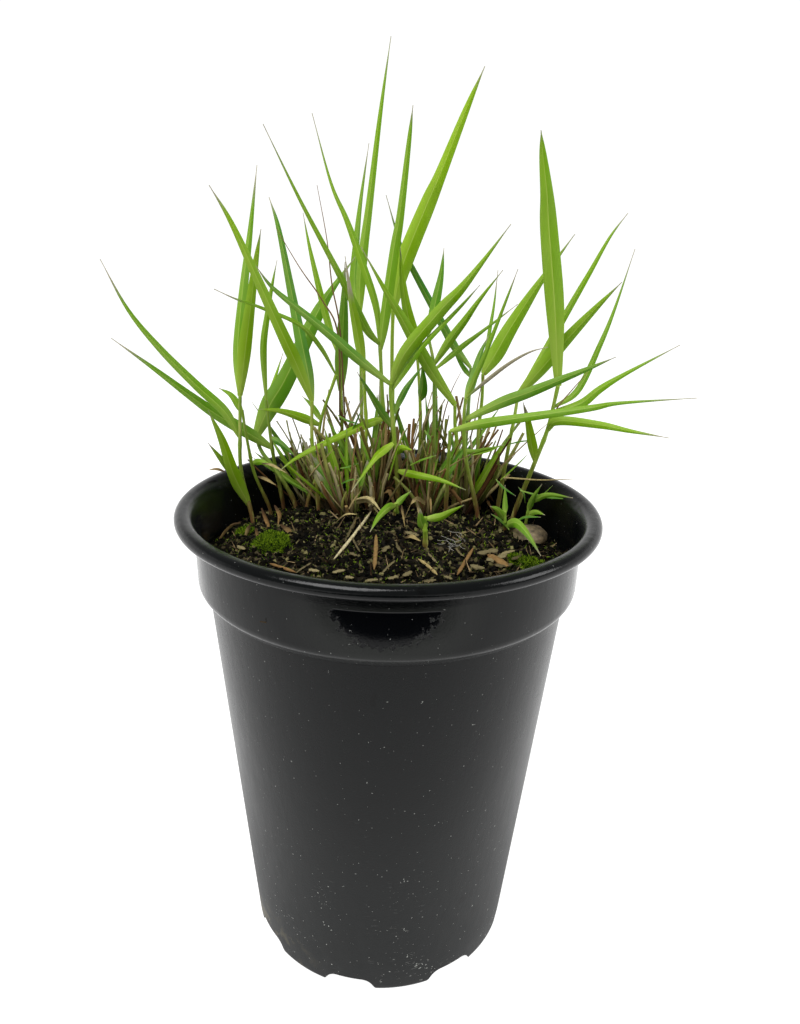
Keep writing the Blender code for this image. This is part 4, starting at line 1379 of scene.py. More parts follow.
@dataclass
class Straw:
    """Last year's dead stalks: dense tufts of thin cut straws with scraps of dry leaf."""

    tufts: Sequence[Tuft]
    sweeper: Sweeper
    steps: int = 7
    tiller_steps: int = 14
    stalks: int = 34
    scraps: int = 5
    tillers: int = 7
    stalk_section: Section = Section(6)
    scrap_section: Section = Section(8, 0.12, 0.3)
    tiller_section: Section = Section(10, 0.1, 0.25)
    reach: float = 0.62
    tallness: tuple[float, float, float] = (0.3, 1.25, 0.5)
    thickness: tuple[float, float, float] = (0.2, 0.95, 0.34)
    taper: float = 0.4
    unevenness: float = 0.12
    bend: float = 0.05
    splay_deg: float = 17.0
    tiller_splay_deg: float = 20.0
    dead_share: float = 0.56

    def stalk(self, tuft: Tuft, foot: Vector, rng: random.Random) -> Strand:
        """One stalk, rising from the tuft's foot."""
        turn, out = rng.uniform(0, math.tau), math.sqrt(rng.random())
        outward = Vector((math.cos(turn), math.sin(turn), 0.0))
        start = foot + outward * (tuft.spread * self.reach * out) - Vector((0, 0, 1.5))
        sizes = (tuft.height[0], tuft.height[1], tuft.height[1])
        tall = rng.triangular(*(size * share for size, share in zip(sizes, self.tallness)))
        lean = math.radians(tuft.lean + rng.gauss(0, self.splay_deg))
        way = Vector((math.sin(lean), rng.uniform(-0.25, 0.25), math.cos(lean)))
        way = (way + outward * out * rng.uniform(0.0, 0.3)).normalized() * tall
        bend = Vector((rng.gauss(0, 1), rng.gauss(0, 1), 0.0)) * self.bend * tall
        points = [start, start + way * 0.35 + bend * 0.6, start + way * 0.7 + bend, start + way]
        places = smooth_path(points, self.steps)
        thick = rng.triangular(*self.thickness)
        along = shares(self.steps)
        half = [
            thick * (1.0 - self.taper * share) * (1.0 + self.unevenness * rng.uniform(-1, 1))
            for share in along
        ]
        side = square_to(places, Vector((0, 1, 0)))
        hue = rng.betavariate(1.5, 1.5)
        dry = 1.0 if rng.random() < self.dead_share else rng.uniform(0.0, 0.6)
        return Strand(places, half, side, along, hue, dry)

    def scrap(self, tuft: Tuft, foot: Vector, rng: random.Random) -> Strand:
        """One flat scrap of dry leaf, which curls down among the stalks."""
        turn = rng.uniform(0, math.tau)
        outward = Vector((math.cos(turn), math.sin(turn), 0.0))
        rise = Vector((0, 0, rng.uniform(2, tuft.height[0])))
        start = foot + outward * tuft.spread * 0.3 + rise
        way = outward * rng.uniform(6, 13)
        points = [start, start + way * 0.5 + Vector((0, 0, rng.uniform(0, 4))),
                  start + way * 0.9 - Vector((0, 0, rng.uniform(0, 3)))]
        places = smooth_path(points, self.steps)
        wide = rng.uniform(0.35, 0.95)
        half = [
            wide * math.sin(math.pi * (0.12 + 0.86 * share)) + 0.05 for share in shares(self.steps)
        ]
        side = square_to(places, Vector((rng.uniform(-1, 1), rng.uniform(-1, 1), 0.8)))
        return Strand(places, half, side, [0.6] * len(places), rng.uniform(0.25, 0.9))

    def tiller(self, tuft: Tuft, foot: Vector, rng: random.Random) -> Strand:
        """One short green blade that comes up among the stalks."""
        outward = Vector((rng.uniform(-1, 1), rng.uniform(-0.2, 0.8), 0.0))
        start = foot + outward * tuft.spread * 0.5
        long = tuft.height[1] * rng.uniform(0.55, 1.15)
        lean = math.radians(tuft.lean * 1.4 + rng.gauss(0, self.tiller_splay_deg))
        way = Vector((math.sin(lean), outward.y * 0.2, math.cos(lean))) * long
        bend = outward * long * rng.uniform(0.0, 0.22)
        points = [start, start + way * 0.5, start + way + bend]
        places = smooth_path(points, self.tiller_steps)
        wide = rng.uniform(0.5, 1.1)
        along = shares(self.tiller_steps)
        swell = [math.sin(math.pi * min(1.0, 0.12 + 0.88 * share)) ** 0.8 for share in along]
        half = [max(0.06, wide * full) for full in swell]
        side = square_to(places, Vector((1.0, rng.uniform(-0.7, 0.7), 0.0)))
        hue = rng.uniform(0.2, 0.9)
        return Strand(places, half, side, along, hue, rng.choice((0.03, 0.05, 0.25)))

    def build(self, finish: bpy.types.Material, leaf: bpy.types.Material) -> None:
        """Build every tuft.

        Args:
            finish: The straw's finish.
            leaf: The finish of the green blades among it.
        """
        sorts = (
            ("stalks", self.stalk, self.stalks, self.stalk_section, finish),
            ("scraps", self.scrap, self.scraps, self.scrap_section, finish),
            ("tillers", self.tiller, self.tillers, self.tiller_section, leaf),
        )
        for tuft in self.tufts:
            rng = random.Random(tuft.seed * 31)
            foot = Vector((*tuft.middle, MIX.height(*tuft.middle)))
            meshes = []
            for name, make, count, section, dress in sorts:
                strands = [make(tuft, foot, rng) for _ in range(count)]
                mesh = self.sweeper.sweep(f"{tuft.name}_{name}", strands, section, dress)
                meshes.append(mesh)
            settle(joined(f"{tuft.name}_stalks", meshes), Stuff.STRAW, [tuft.name])


@dataclass
class MossCushions:
    """Low cushions of moss: a soft mound under a pile of tiny leaflets."""

    patches: Sequence[Patch]
    rings: int = 14
    sides: int = 44
    lift: float = 0.35
    sunk: float = 1.2
    pile: Scatter = Scatter(Crumb.LEAFLET, 2400.0, (0.35, 1.25), (0.32, 0.32, 1.0), 0.6, 71)

    def build(self, mound: bpy.types.Material, leaflet: bpy.types.Material) -> None:
        """Build every cushion.

        Args:
            mound: The finish of the mound.
            leaflet: The finish of the leaflets.
        """
        for patch in self.patches:
            def ground(x: float, y: float, share: float, patch: Patch = patch) -> float:
                """The mound's height, sunk into the mix at its edge."""
                lump = 0.9 * noise.noise(Vector((x * 0.5, y * 0.5, 8.0)))
                lump += 0.3 * noise.noise(Vector((x, y, 3.0)) * 1.7)
                mound = (patch.rise + lump) * (1.0 - share**2.5)
                return MIX.height(x, y) + self.lift + mound - self.sunk * share**6

            middle = Vector((*patch.middle, 0))
            top = disc_of(f"{patch.name}_top", middle, patch.half, self.rings, self.sides, ground)
            pelt = self.pile.strew(f"{patch.name}_pile", top, leaflet)
            top.materials.append(mound)
            settle(joined(f"{patch.name}_cushion", [top, pelt]), Stuff.MOSS, [patch.name])


@dataclass
class Pebble:
    """One smooth stone half sunk in the mix."""

    middle: tuple[float, float] = (41.2, 8.6)
    size: float = 5.2
    flatness: float = 0.62
    raised: float = 0.9
    subdivisions: int = 5
    lumps: Outline = ((0.06, 2.0), (0.012, 7.0))

    def build(self, finish: bpy.types.Material) -> None:
        """Build the stone.

        Args:
            finish: The stone's finish.
        """
        bm = bmesh.new()
        bmesh.ops.create_icosphere(bm, subdivisions=self.subdivisions, radius=self.size * MM)
        middle = Vector((*self.middle, MIX.height(*self.middle) + self.raised)) * MM
        for vert in bm.verts:
            way = vert.co.normalized()
            vert.co *= 1.0 + sum(rise * noise.noise(way * rate) for rise, rate in self.lumps)
            vert.co.z *= self.flatness
            vert.co += middle
        mesh = smooth_mesh("pebble_stone", bm)
        mesh.materials.append(finish)
        settle(new_piece("pebble_stone", mesh), Stuff.STONE, ["pebble"])


@dataclass
class Litter:
    """Bits of twig, needles and chips of bark that lie on the mix."""

    sticks: Sequence[Stick]
    sweeper: Sweeper
    steps: int = 12
    lift: float = 0.35
    chip_section: Section = Section(7, 0.3, 0.15)
    chip_seed: int = 700
    stick_seed: int = 500

    def lying(
        self, start: Vector, end: Vector, radius: float, hue: float, bow: float, rng: random.Random
    ) -> Strand:
        """A bit that lies along the mix, from start to end, with a slight bow."""
        count = self.steps + 1
        up = Vector((0, 0, 1))
        across = (end - start).cross(up).normalized()
        flat = [
            start.lerp(end, share) + across * bow * math.sin(math.pi * share)
            for share in shares(self.steps)
        ]
        rest = max(MIX.height(p.x, p.y) - p.z for p in flat)
        places = [p + up * (rest + radius + self.lift) for p in flat]
        half = [
            radius * (0.85 + 0.3 * rng.random()) * min(1.0, 0.3 + 0.35 * min(k, self.steps - k))
            for k in range(count)
        ]
        side = [level.cross(way) for level, way in zip(square_to(places, up), directions(places))]
        return Strand(places, half, side, [0.5 + 0.5 * share for share in shares(self.steps)], hue)

    def build_chips(self, finish: bpy.types.Material) -> None:
        """Flat chips of bark that lie about on the mix."""
        strands = []
        for number, (width, hue, start, end) in enumerate(CHIPS):
            rng = random.Random(self.chip_seed + number)
            ends = MIX.on_surface(*start), MIX.on_surface(*end)
            strand = self.lying(*ends, width, hue, rng.uniform(-0.4, 0.4), rng)
            strand.half = [half * rng.uniform(0.55, 1.15) for half in strand.half]
            strands.append(strand)
        self.sweeper.lay("bark_chips", strands, self.chip_section, finish)

    def build(self, finish: bpy.types.Material) -> None:
        """Build each stick.

        Args:
            finish: The finish of dead wood and straw.
        """
        for number, stick in enumerate(self.sticks):
            rng = random.Random(self.stick_seed + number)
            ends = MIX.on_surface(*stick.start), MIX.on_surface(*stick.end)
            strand = self.lying(*ends, stick.radius, stick.hue, rng.uniform(-0.5, 0.5), rng)
            section = Section(9, 0.45 if "chip" in stick.name else 0.8)
            name = f"{stick.name}_wood"
            self.sweeper.lay(name, [strand], section, finish, Stuff.STRAW, [stick.name])


@dataclass
class Extras:
    """Thin things that the solids leave out: dry stems, small leaves and white root threads."""

    sweeper: Sweeper
    lean: Vector = Vector((0.3, 1, 0))
    stem_steps: int = 26
    steps: int = 14
    finest: float = 0.06
    stem_section: Section = Section(7, 0.8)
    leaf_section: Section = Section(10, 0.12, 0.35)
    root_section: Section = Section(4)
    roots: int = 12
    root_columns: tuple[float, float] = (454.0, 5.0)
    root_rows: tuple[float, float] = (545.0, 4.0)
    root_radius: float = 0.065
    root_seed: int = 88

    def strand(
        self, points: Sequence[Vector], widest: float, hue: float, steps: int, taper: float
    ) -> Strand:
        """A thin strand through some places in millimetres, tapering to its tip."""
        places = smooth_path(points, steps)
        half = [max(self.finest, widest * (1.0 - taper * share**1.5)) for share in shares(steps)]
        along = [0.35 + 0.65 * share for share in shares(steps)]
        return Strand(places, half, square_to(places, self.lean), along, hue)

    def build_dry_stems(self, finish: bpy.types.Material) -> None:
        """The thin dry stems that rise out of the clump."""
        strands = []
        for width, hue, path in DRY_STEMS:
            points = [EYE.sighted(*point) for point in path]
            strands.append(self.strand(points, width, hue, self.stem_steps, 0.75))
        self.sweeper.lay("dry_stems", strands, self.stem_section, finish)

    def build_leaves(
        self, name: str, table: Sequence[tuple], dry: float, finish: bpy.types.Material
    ) -> None:
        """Flat small leaves: dead ones at the clump's foot, or green ones on the youngest stems.

        Args:
            name: The piece's name.
            table: Each leaf's half width, hue and path of sighted points.
            dry: How dry they are, from 0 to 1.
            finish: The leaves' finish.
        """
        strands = []
        for width, hue, path in table:
            places = smooth_path([EYE.sighted(*point) for point in path], self.steps)
            along = shares(self.steps)
            half = [width * math.sin(math.pi * (0.1 + 0.88 * share)) + 0.05 for share in along]
            strands.append(Strand(places, half, square_to(places, self.lean), along, hue, dry))
        self.sweeper.lay(name, strands, self.leaf_section, finish, Stuff.LEAF)

    def build_roots(self, finish: bpy.types.Material) -> None:
        """Fine white roots on the surface of the mix."""
        rng = random.Random(self.root_seed)
        strands = []
        for _ in range(self.roots):
            place = MIX.on_surface(rng.gauss(*self.root_columns), rng.gauss(*self.root_rows))
            heading = rng.uniform(0, math.tau)
            points = []
            for _ in range(5):
                height = MIX.height(place.x, place.y) + rng.uniform(0.5, 1.1)
                points.append(Vector((place.x, place.y, height)))
                heading += rng.uniform(-0.9, 0.9)
                way = Vector((math.cos(heading), math.sin(heading), 0))
                place = place + way * rng.uniform(0.8, 1.7)
            strands.append(self.strand(points, self.root_radius, 1.0, self.steps, 0.5))
        self.sweeper.lay("root_threads", strands, self.root_section, finish)


@dataclass
class Studio:
    """A glowing white sweep, a dark flag on it in front of the pot, and soft lamps above."""

    floor_size: float = 40.0
    aim: tuple[float, float, float] = (0, 0, 0.12)
    floor_tint: float = 0.25
    floor_glow: float = 1.0
    world_strength: float = 1.06
    side_share: float = 0.30
    behind: tuple[float, float] = (-0.25, 0.15)
    overhead: tuple[float, float] = (0.24, 0.5)
    flag_tint: float = 0.01
    flag_shift: float = -0.02
    flag_lift: float = 0.002
    flag_near: float = -0.232
    flag_size: tuple[float, float] = (0.40, 2.2)
    key_place: tuple[float, float, float] = (-0.35, -0.45, 1.1)
    key_watts: float = 16.0
    fill_place: tuple[float, float, float] = (0.9, -0.2, 0.6)
    fill_watts: float = 5.0

    def sheet(
        self, name: str, tint: float, glow: float, size: tuple[float, float], middle: Vector
    ) -> None:
        """A flat sheet that lies level.

        Args:
            name: The sheet's name.
            tint: Its grey.
            glow: How strongly it gives light of its own.
            size: Its sizes along X and Y, in metres.
            middle: Its middle, in metres.
        """
        finish = bpy.data.materials.new(name + "_finish")
        finish.use_nodes = True
        inputs = finish.node_tree.nodes["Principled BSDF"].inputs
        values = {
            "Base Color": (tint, tint, tint, 1.0), "Roughness": 0.9, "Specular IOR Level": 0.0,
            "Emission Color": (1.0, 1.0, 1.0, 1.0), "Emission Strength": glow,
        }
        for key, value in values.items():
            inputs[key].default_value = value
        bm = bmesh.new()
        bmesh.ops.create_grid(bm, x_segments=1, y_segments=1, size=0.5)
        for vert in bm.verts:
            vert.co = Vector((vert.co.x * size[0], vert.co.y * size[1], 0.0)) + middle
        mesh = smooth_mesh(name, bm)
        mesh.materials.append(finish)
        piece = new_piece(name, mesh)
        piece.visible_camera = glow > 0.0

    def lamp(self, name: str, place: Vector, size: float, watts: float) -> None:
        """A square soft lamp that faces the plant.

        Args:
            name: The lamp's name.
            place: Where it hangs, in metres.
            size: The length of its sides, in metres.
            watts: Its power.
        """
        data = bpy.data.lights.new(name, "AREA")
        data.size, data.energy = size, watts
        lamp = bpy.data.objects.new(name, data)
        lamp.location = place
        lamp.rotation_euler = (Vector(self.aim) - place).to_track_quat("-Z", "Y").to_euler()
        bpy.context.scene.collection.objects.link(lamp)

    def build(self) -> None:
        """Lay the floor and hang the lights."""
        floor_size = (self.floor_size,) * 2
        self.sheet("floor", self.floor_tint, self.floor_glow, floor_size, Vector((0, 0, 0)))
        far = self.flag_near - self.flag_size[1] / 2
        middle = Vector((self.flag_shift, far, self.flag_lift))
        self.sheet("flag", self.flag_tint, 0.0, self.flag_size, middle)
        world = bpy.data.worlds.new("studio")
        world.use_nodes = True
        nodes = Nodes(world.node_tree)
        _, ahead, rise = nodes.parts(nodes.add("ShaderNodeTexCoord", output="Generated"))
        white = nodes.step(ahead, *self.behind) * (1.0 - nodes.step(rise, *self.overhead))
        seen = nodes.add("ShaderNodeLightPath", output="Is Camera Ray")
        white = (white + seen).least(1.0)
        back = world.node_tree.nodes["Background"]
        shade = nodes.mix(white, (self.side_share,) * 3, (1.0, 1.0, 1.0))
        world.node_tree.links.new(shade.socket, back.inputs["Color"])
        back.inputs["Strength"].default_value = self.world_strength
        bpy.context.scene.world = world
        self.lamp("key_lamp", Vector(self.key_place), 0.7, self.key_watts)
        self.lamp("fill_lamp", Vector(self.fill_place), 0.5, self.fill_watts)
        bpy.context.scene.view_settings.view_transform = "Standard"
        bpy.context.scene.view_settings.look = "None"
        EYE.make_camera()


SHOOTS = (
    Shoot("shoot_left_front", (-41, 20), 0.7, ((241, 470, 21), (240, 430, 20), (240, 396, 19)), (
        Blade(3.2, 20, 28, 0.55, 0.1, ((240, 396), (238, 350), (243, 290), (250, 230), (257, 165))),
        Blade(3.4, -15, 10, 0.15, 0.08,
              ((240, 396), (245, 350), (250, 310), (256, 262), (261, 229))),
        Blade(2.6, 10, 14, 0.5, 0.12,
              ((239, 438), (225, 412), (196, 385), (160, 349), (128, 310), (100, 259))),
        Blade(3.4, 0, 10, 0.2, 0.05, ((243, 505), (234, 475), (222, 440), (208, 410))),
        Blade(2.8, 25, 13, 0.3, 0.1, ((242, 481), (228, 467), (208, 443))),
    )),
    Shoot("shoot_left_slender", (-36.5, 27), 0.6,
          ((255, 475, 25), (248, 445, 23), (242, 410, 22)), (
        Blade(1.8, 0, 22, 0.35, 0.1, ((243, 412), (232, 396), (219, 388))),
        Blade(1.8, 10, 20, 0.5, 0.1, ((252, 462), (262, 462), (276, 468))),
    )),
    Shoot("shoot_left_long", (-33, 32), 0.7, ((275, 465, 30), (271, 440, 28), (266, 400, 26)), (
        Blade(2.0, 35, 22, 0.4, 0.1, ((266, 400), (263, 350), (267, 315), (272, 285), (277, 260))),
        Blade(3.3, 5, 20, 0.6, 0.12,
              ((270, 447), (250, 434), (216, 414), (189, 395), (153, 368), (111, 338))),
        Blade(1.8, 0, 24, 0.9, 0.05, ((272, 438), (284, 446), (297, 458))),
    )),
    Shoot("shoot_left_broad", (-29, 29), 0.8, ((281, 478, 28), (262, 452, 29), (256, 436, 31)), (
        Blade(5.6, 10, 40, 0.65, 0.05,
              ((256, 436), (270, 405), (285, 380), (315, 318), (330, 292), (355, 257))),
        Blade(2.0, 20, 42, 0.2, 0.1, ((256, 440), (264, 410), (273, 384), (283, 353))),
    )),
    Shoot("shoot_left_inner", (-25, 27), 0.65, ((318, 470, 27), (320, 425, 26), (336, 375, 24)), (
        Blade(2.4, 0, 19, 0.15, 0.05, ((320, 425), (300, 417), (280, 411), (258, 409))),
        Blade(1.2, 0, 4, 0.4, 0.2,
              ((336, 375), (321, 348), (300, 325), (262, 308), (236, 299), (214, 289))),
        Blade(1.6, 10, 30, 0.4, 0.1, ((321, 421), (312, 406), (302, 396))),
    )),
    Shoot("shoot_twin", (-21, 20), 0.7, ((316, 470, 19), (312, 440, 18), (312, 401, 16)), (
        Blade(3.2, 5, 2, 0.2, 0.1,
              ((312, 401), (297, 365), (283, 335), (257, 278), (231, 222), (209, 185))),
        Blade(3.4, -10, 30, 0.85, 0.08,
              ((312, 401), (308, 375), (301, 340), (293, 300), (279, 230), (269, 197))),
    )),
    Shoot("shoot_pale", (-15, 31), 0.65, ((342, 450, 32), (341, 391, 32), (337, 352, 32)), (
        Blade(1.9, 15, 36, 0.3, 0.1, ((337, 352), (327, 320), (317, 280), (309, 245), (303, 213))),
        Blade(3.6, -15, 24, 0.7, 0.1, ((341, 391), (342, 350), (344, 306), (345, 262))),
    )),
    Shoot("shoot_browned", (-9, 23), 0.65, ((366, 440, 22), (365, 400, 21), (364, 372, 20)), (
        Blade(2.7, 15, 12, 0.1, 0.3, ((364, 372), (357, 330), (351, 300), (345, 256))),
    )),
    Shoot("shoot_tallest", (-8, 37), 0.7, ((362, 440, 40), (361, 372, 42), (360, 311, 42)), (
        Blade(3.1, 20, 40, 0.4, 0.05,
              ((360, 311), (360, 285), (363, 250), (369, 205), (380, 115), (391, 36))),
        Blade(2.6, -25, 50, 0.5, 0.1, ((360, 311), (354, 285), (357, 240), (361, 200), (369, 143))),
    )),
    Shoot("shoot_centre", (-3, 29), 0.8, ((384, 440, 29), (382, 390, 28), (380, 345, 27)), (
        Blade(2.2, 10, 6, 0.4, 0.08,
              ((380, 347), (367, 330), (352, 300), (336, 268), (300, 200), (263, 124))),
        Blade(2.0, -15, 26, 0.35, 0.08,
              ((380, 335), (376, 305), (357, 248), (346, 218), (331, 183), (312, 113))),
        Blade(3.2, 25, 20, 0.45, 0.08,
              ((381, 350), (384, 320), (394, 250), (400, 215), (409, 140), (413, 105))),
        Blade(2.3, 0, 10, 0.1, 0.05, ((383, 420), (370, 423), (340, 436), (300, 456), (279, 471))),
    )),
    Shoot("shoot_arching", (3, 22), 0.8, ((396, 460, 21), (391, 400, 19), (391, 383, 18)), (
        Blade(3.4, 10, 2, 0.35, 0.06,
              ((391, 385), (405, 353), (440, 311), (460, 290), (480, 265), (511, 224))),
        Blade(2.0, 25, 9, 0.45, 0.1, ((393, 392), (408, 365), (425, 343), (460, 307), (480, 285))),
        Blade(2.6, -10, 0, 0.75, 0.1,
              ((391, 385), (360, 360), (330, 334), (300, 310), (272, 287), (256, 266))),
        Blade(2.1, 0, 12, 0.05, 0.0, ((394, 452), (402, 448), (412, 450))),
        Blade(2.1, 10, 6, 0.3, 0.05, ((396, 468), (413, 474), (440, 480), (466, 490))),
        Blade(2.2, -15, 8, 0.15, 0.1, ((394, 440), (380, 453), (372, 462), (351, 492))),
        Blade(2.2, 20, 14, 0.8, 0.1, ((392, 430), (380, 410), (368, 390), (357, 372))),
        Blade(1.8, 15, 24, 0.9, 0.1, ((391, 415), (404, 392), (412, 380), (425, 363))),
    )),
    Shoot("shoot_golden", (2, 38), 0.8, ((393, 440, 38), (392, 360, 38), (393, 310, 37)), (
        Blade(4.6, 5, 26, 0.1, 0.05,
              ((393, 310), (403, 265), (427, 205), (440, 175), (466, 110), (485, 66))),
    )),
    Shoot("shoot_upright", (9, 33), 0.65, ((420, 440, 33), (420, 400, 33), (417, 350, 32)), (
        Blade(3.0, 10, 24, 0.15, 0.08,
              ((417, 350), (412, 330), (406, 305), (402, 275), (400, 245))),
        Blade(3.0, 35, 26, 0.8, 0.1, ((420, 402), (423, 384), (422, 362))),
    )),
    Shoot("shoot_fork", (15, 28), 0.65, ((434, 440, 27), (434, 370, 26), (428, 335, 26)), (
        Blade(2.5, 15, 30, 0.75, 0.08, ((429, 336), (436, 300), (441, 275), (444, 248))),
        Blade(2.3, 5, 14, 0.4, 0.08, ((434, 365), (450, 340), (465, 320), (480, 299), (503, 270))),
        Blade(1.7, 20, 20, 0.5, 0.1, ((434, 368), (460, 348), (480, 333), (518, 304))),
    )),
    Shoot("shoot_blue", (24, 38), 0.7, ((466, 440, 40), (469, 400, 41), (471, 368, 41)), (
        Blade(2.4, 0, 36, 0.95, 0.08,
              ((471, 368), (455, 347), (440, 320), (412, 268), (400, 243), (386, 195))),
        Blade(1.5, 10, 45, 0.8, 0.1, ((470, 376), (460, 362), (447, 333))),
    )),
    Shoot("shoot_wide_lean", (20, 24), 0.7, ((457, 450, 23), (455, 425, 22), (455, 405, 21)), (
        Blade(3.4, 5, 14, 0.3, 0.06,
              ((455, 405), (432, 372), (415, 342), (400, 315), (385, 290), (361, 247))),
        Blade(1.5, 0, 18, 0.5, 0.1, ((457, 450), (472, 452), (488, 449), (504, 445))),
    )),
    Shoot("shoot_right_broad", (29, 33), 0.7, ((478, 440, 33), (482, 400, 33), (483, 374, 32)), (
        Blade(4.4, 5, 28, 0.3, 0.05,
              ((483, 374), (495, 355), (508, 332), (525, 305), (543, 278), (575, 234))),
        Blade(1.1, 0, 40, 0.5, 0.2, ((483, 378), (489, 335), (494, 305), (498, 270))),
    )),
    Shoot("shoot_right_inner", (27, 19), 0.7, ((466, 460, 17), (464, 420, 15), (466, 398, 14)), (
        Blade(1.4, 10, 8, 0.45, 0.15, ((465, 400), (475, 378), (486, 352), (507, 298), (518, 269))),
        Blade(2.4, -20, 22, 0.85, 0.1, ((466, 400), (473, 380), (480, 355), (489, 335))),
        Blade(2.9, 5, 4, 0.7, 0.08,
              ((464, 420), (500, 403), (530, 392), (560, 380), (590, 368), (616, 357))),
        Blade(1.0, 0, -4, 0.6, 0.9, ((466, 398), (490, 378), (510, 363), (530, 352), (548, 347))),
    )),
    Shoot("shoot_right_low", (17, 16), 0.65, ((448, 470, 13), (449, 450, 11), (450, 431, 10)), (
        Blade(2.5, 10, -10, 0.5, 0.08,
              ((450, 431), (480, 424), (520, 418), (590, 408), (620, 403), (697, 398))),
    )),
    Shoot("shoot_right_pair", (34, 27), 0.7, ((508, 450, 25), (514, 420, 24), (518, 395, 24)), (
        Blade(1.9, 10, 24, 0.35, 0.1,
              ((518, 396), (548, 345), (572, 303), (590, 272), (610, 237), (628, 213))),
        Blade(3.6, -5, 12, 0.3, 0.06,
              ((518, 396), (540, 370), (560, 347), (580, 325), (600, 304), (622, 282))),
    )),
    Shoot("shoot_right_tall", (38.5, 23), 0.8, ((535, 462, 20), (548, 428, 18), (558, 386, 16)), (
        Blade(4.6, 5, 8, 0.35, 0.04,
              ((558, 386), (555, 310), (549, 230), (547, 195), (543, 155), (541, 130))),
        Blade(2.4, 0, 4, 0.3, 0.12, ((548, 430), (558, 421), (600, 425), (630, 431), (669, 438))),
        Blade(2.5, 15, 12, 0.4, 0.08, ((554, 412), (580, 404), (600, 389), (625, 374), (680, 345))),
        Blade(1.7, 10, 26, 0.5, 0.1, ((555, 408), (578, 390), (600, 345), (615, 308), (635, 249))),
        Blade(2.8, 25, 16, 0.1, 0.3, ((535, 462), (531, 440), (527, 418), (523, 402))),
    )),
    Shoot("sprout_right_edge", (41, 15), 0.6, ((528, 512, 14), (530, 500, 14)), (
        Blade(1.6, 0, 10, 0.6, 0.1, ((528, 512), (533, 498), (542, 484))),
        Blade(1.6, 10, 8, 0.5, 0.1, ((528, 515), (536, 512), (545, 515))),
        Blade(1.6, 0, 6, 0.55, 0.1, ((529, 503), (548, 495), (573, 498))),
    )),
    Shoot("sprout_right", (34, 10), 0.65, ((505, 522, 9), (505, 512, 9)), (
        Blade(2.5, 10, -7, 0.6, 0.1, ((506, 525), (516, 523), (528, 535), (541, 556))),
        Blade(1.8, 0, 6, 0.5, 0.1, ((505, 520), (498, 510), (490, 506))),
        Blade(1.4, 10, 12, 0.6, 0.1, ((505, 514), (505, 500), (505, 485))),
    )),
    Shoot("sprout_middle", (2, 14), 0.65, ((397, 512, 10), (396, 503, 9)), (
        Blade(2.1, 10, -7, 0.5, 0.08, ((396, 506), (388, 508), (378, 518), (370, 532))),
        Blade(1.6, 0, 12, 0.6, 0.08, ((396, 505), (403, 498), (411, 491))),
    )),
    Shoot("sprout_front", (9.7, -10.4), 0.8, ((425, 530, -11), (425, 517, -11)), (
        Blade(1.9, 0, -13, 0.35, 0.05, ((425, 519), (440, 517), (452, 511), (464, 505))),
        Blade(2.6, 20, -12, 0.6, 0.2, ((425, 530), (421, 520), (420, 508))),
    )),
)

TUFTS = (
    Tuft("straw_far_left", (-23, 34), 5.0, (16, 34), -8, 1),
    Tuft("straw_left", (-16, 25), 4.5, (12, 30), -12, 2),
    Tuft("straw_left_near", (-12, 15), 4.0, (9, 24), -14, 3),
    Tuft("straw_back", (-3, 34), 4.0, (18, 38), 0, 4),
    Tuft("straw_middle", (-4, 21), 4.0, (12, 30), -4, 5),
    Tuft("straw_back_right", (14, 37), 4.0, (16, 36), 8, 6),
    Tuft("straw_inner_right", (9, 27), 3.5, (14, 32), 6, 7),
    Tuft("straw_right", (24, 30), 3.5, (14, 34), 14, 8),
    Tuft("straw_right_near", (12, 18), 3.5, (8, 22), 10, 9),
)

STICKS = (
    Stick("twig_pale", (334, 564), (371, 516), 0.45, 0.95),
    Stick("needle_front", (374, 575), (376, 540), 0.55, 0.35),
    Stick("needle_right", (457, 579), (473, 552), 0.5, 0.3),
    Stick("needle_near", (418, 562), (437, 578), 0.45, 0.6),
    Stick("twig_left", (270, 567), (296, 576), 0.45, 0.3),
    Stick("chip_right", (487, 560), (507, 572), 1.2, 0.32),
)

PATCHES = (
    Patch("moss_left", (-32, -4), (5.6, 7.0), 1.8),
    Patch("moss_back_left", (-41.5, 9), (3.2, 3.6), 0.8),
    Patch("moss_right", (37, -11.5), (6.4, 4.4), 0.9),
)

DRY_STEMS = (
    (0.35, 0.35, ((340, 420, 30), (338, 335, 28), (322, 300, 27), (300, 268, 26), (276, 228, 25))),
    (0.32, 0.3, ((345, 420, 26), (340, 330, 24), (332, 285, 22), (327, 240, 20), (317, 185, 18))),
    (0.42, 0.2, ((322, 470, 27), (320, 425, 28), (328, 398, 29), (336, 375, 30))),
    (0.45, 0.15, ((444, 490, 20), (447, 470, 19), (455, 452, 18), (462, 438, 17))),
    (0.4, 0.55, ((425, 490, 20), (433, 478, 18), (452, 465, 16), (475, 452, 14))),
    (0.32, 0.5, ((552, 428, 18), (556, 410, 17), (572, 390, 15), (588, 372, 13))),
    (0.35, 0.6, ((500, 468, 22), (508, 460, 22), (528, 441, 20), (548, 423, 19))),
    (0.42, 0.7, ((505, 480, 16), (508, 478, 15), (540, 480, 12), (573, 479, 10))),
    (0.35, 0.65, ((310, 476, 14), (318, 466, 13), (333, 450, 12))),
    (0.35, 0.6, ((349, 509, 8), (354, 500, 9), (361, 491, 10))),
    (0.3, 0.45, ((470, 440, 30), (476, 415, 30), (480, 392, 31), (487, 366, 32))),
    (0.3, 0.4, ((440, 440, 32), (444, 415, 33), (452, 390, 34), (461, 372, 35))),
)

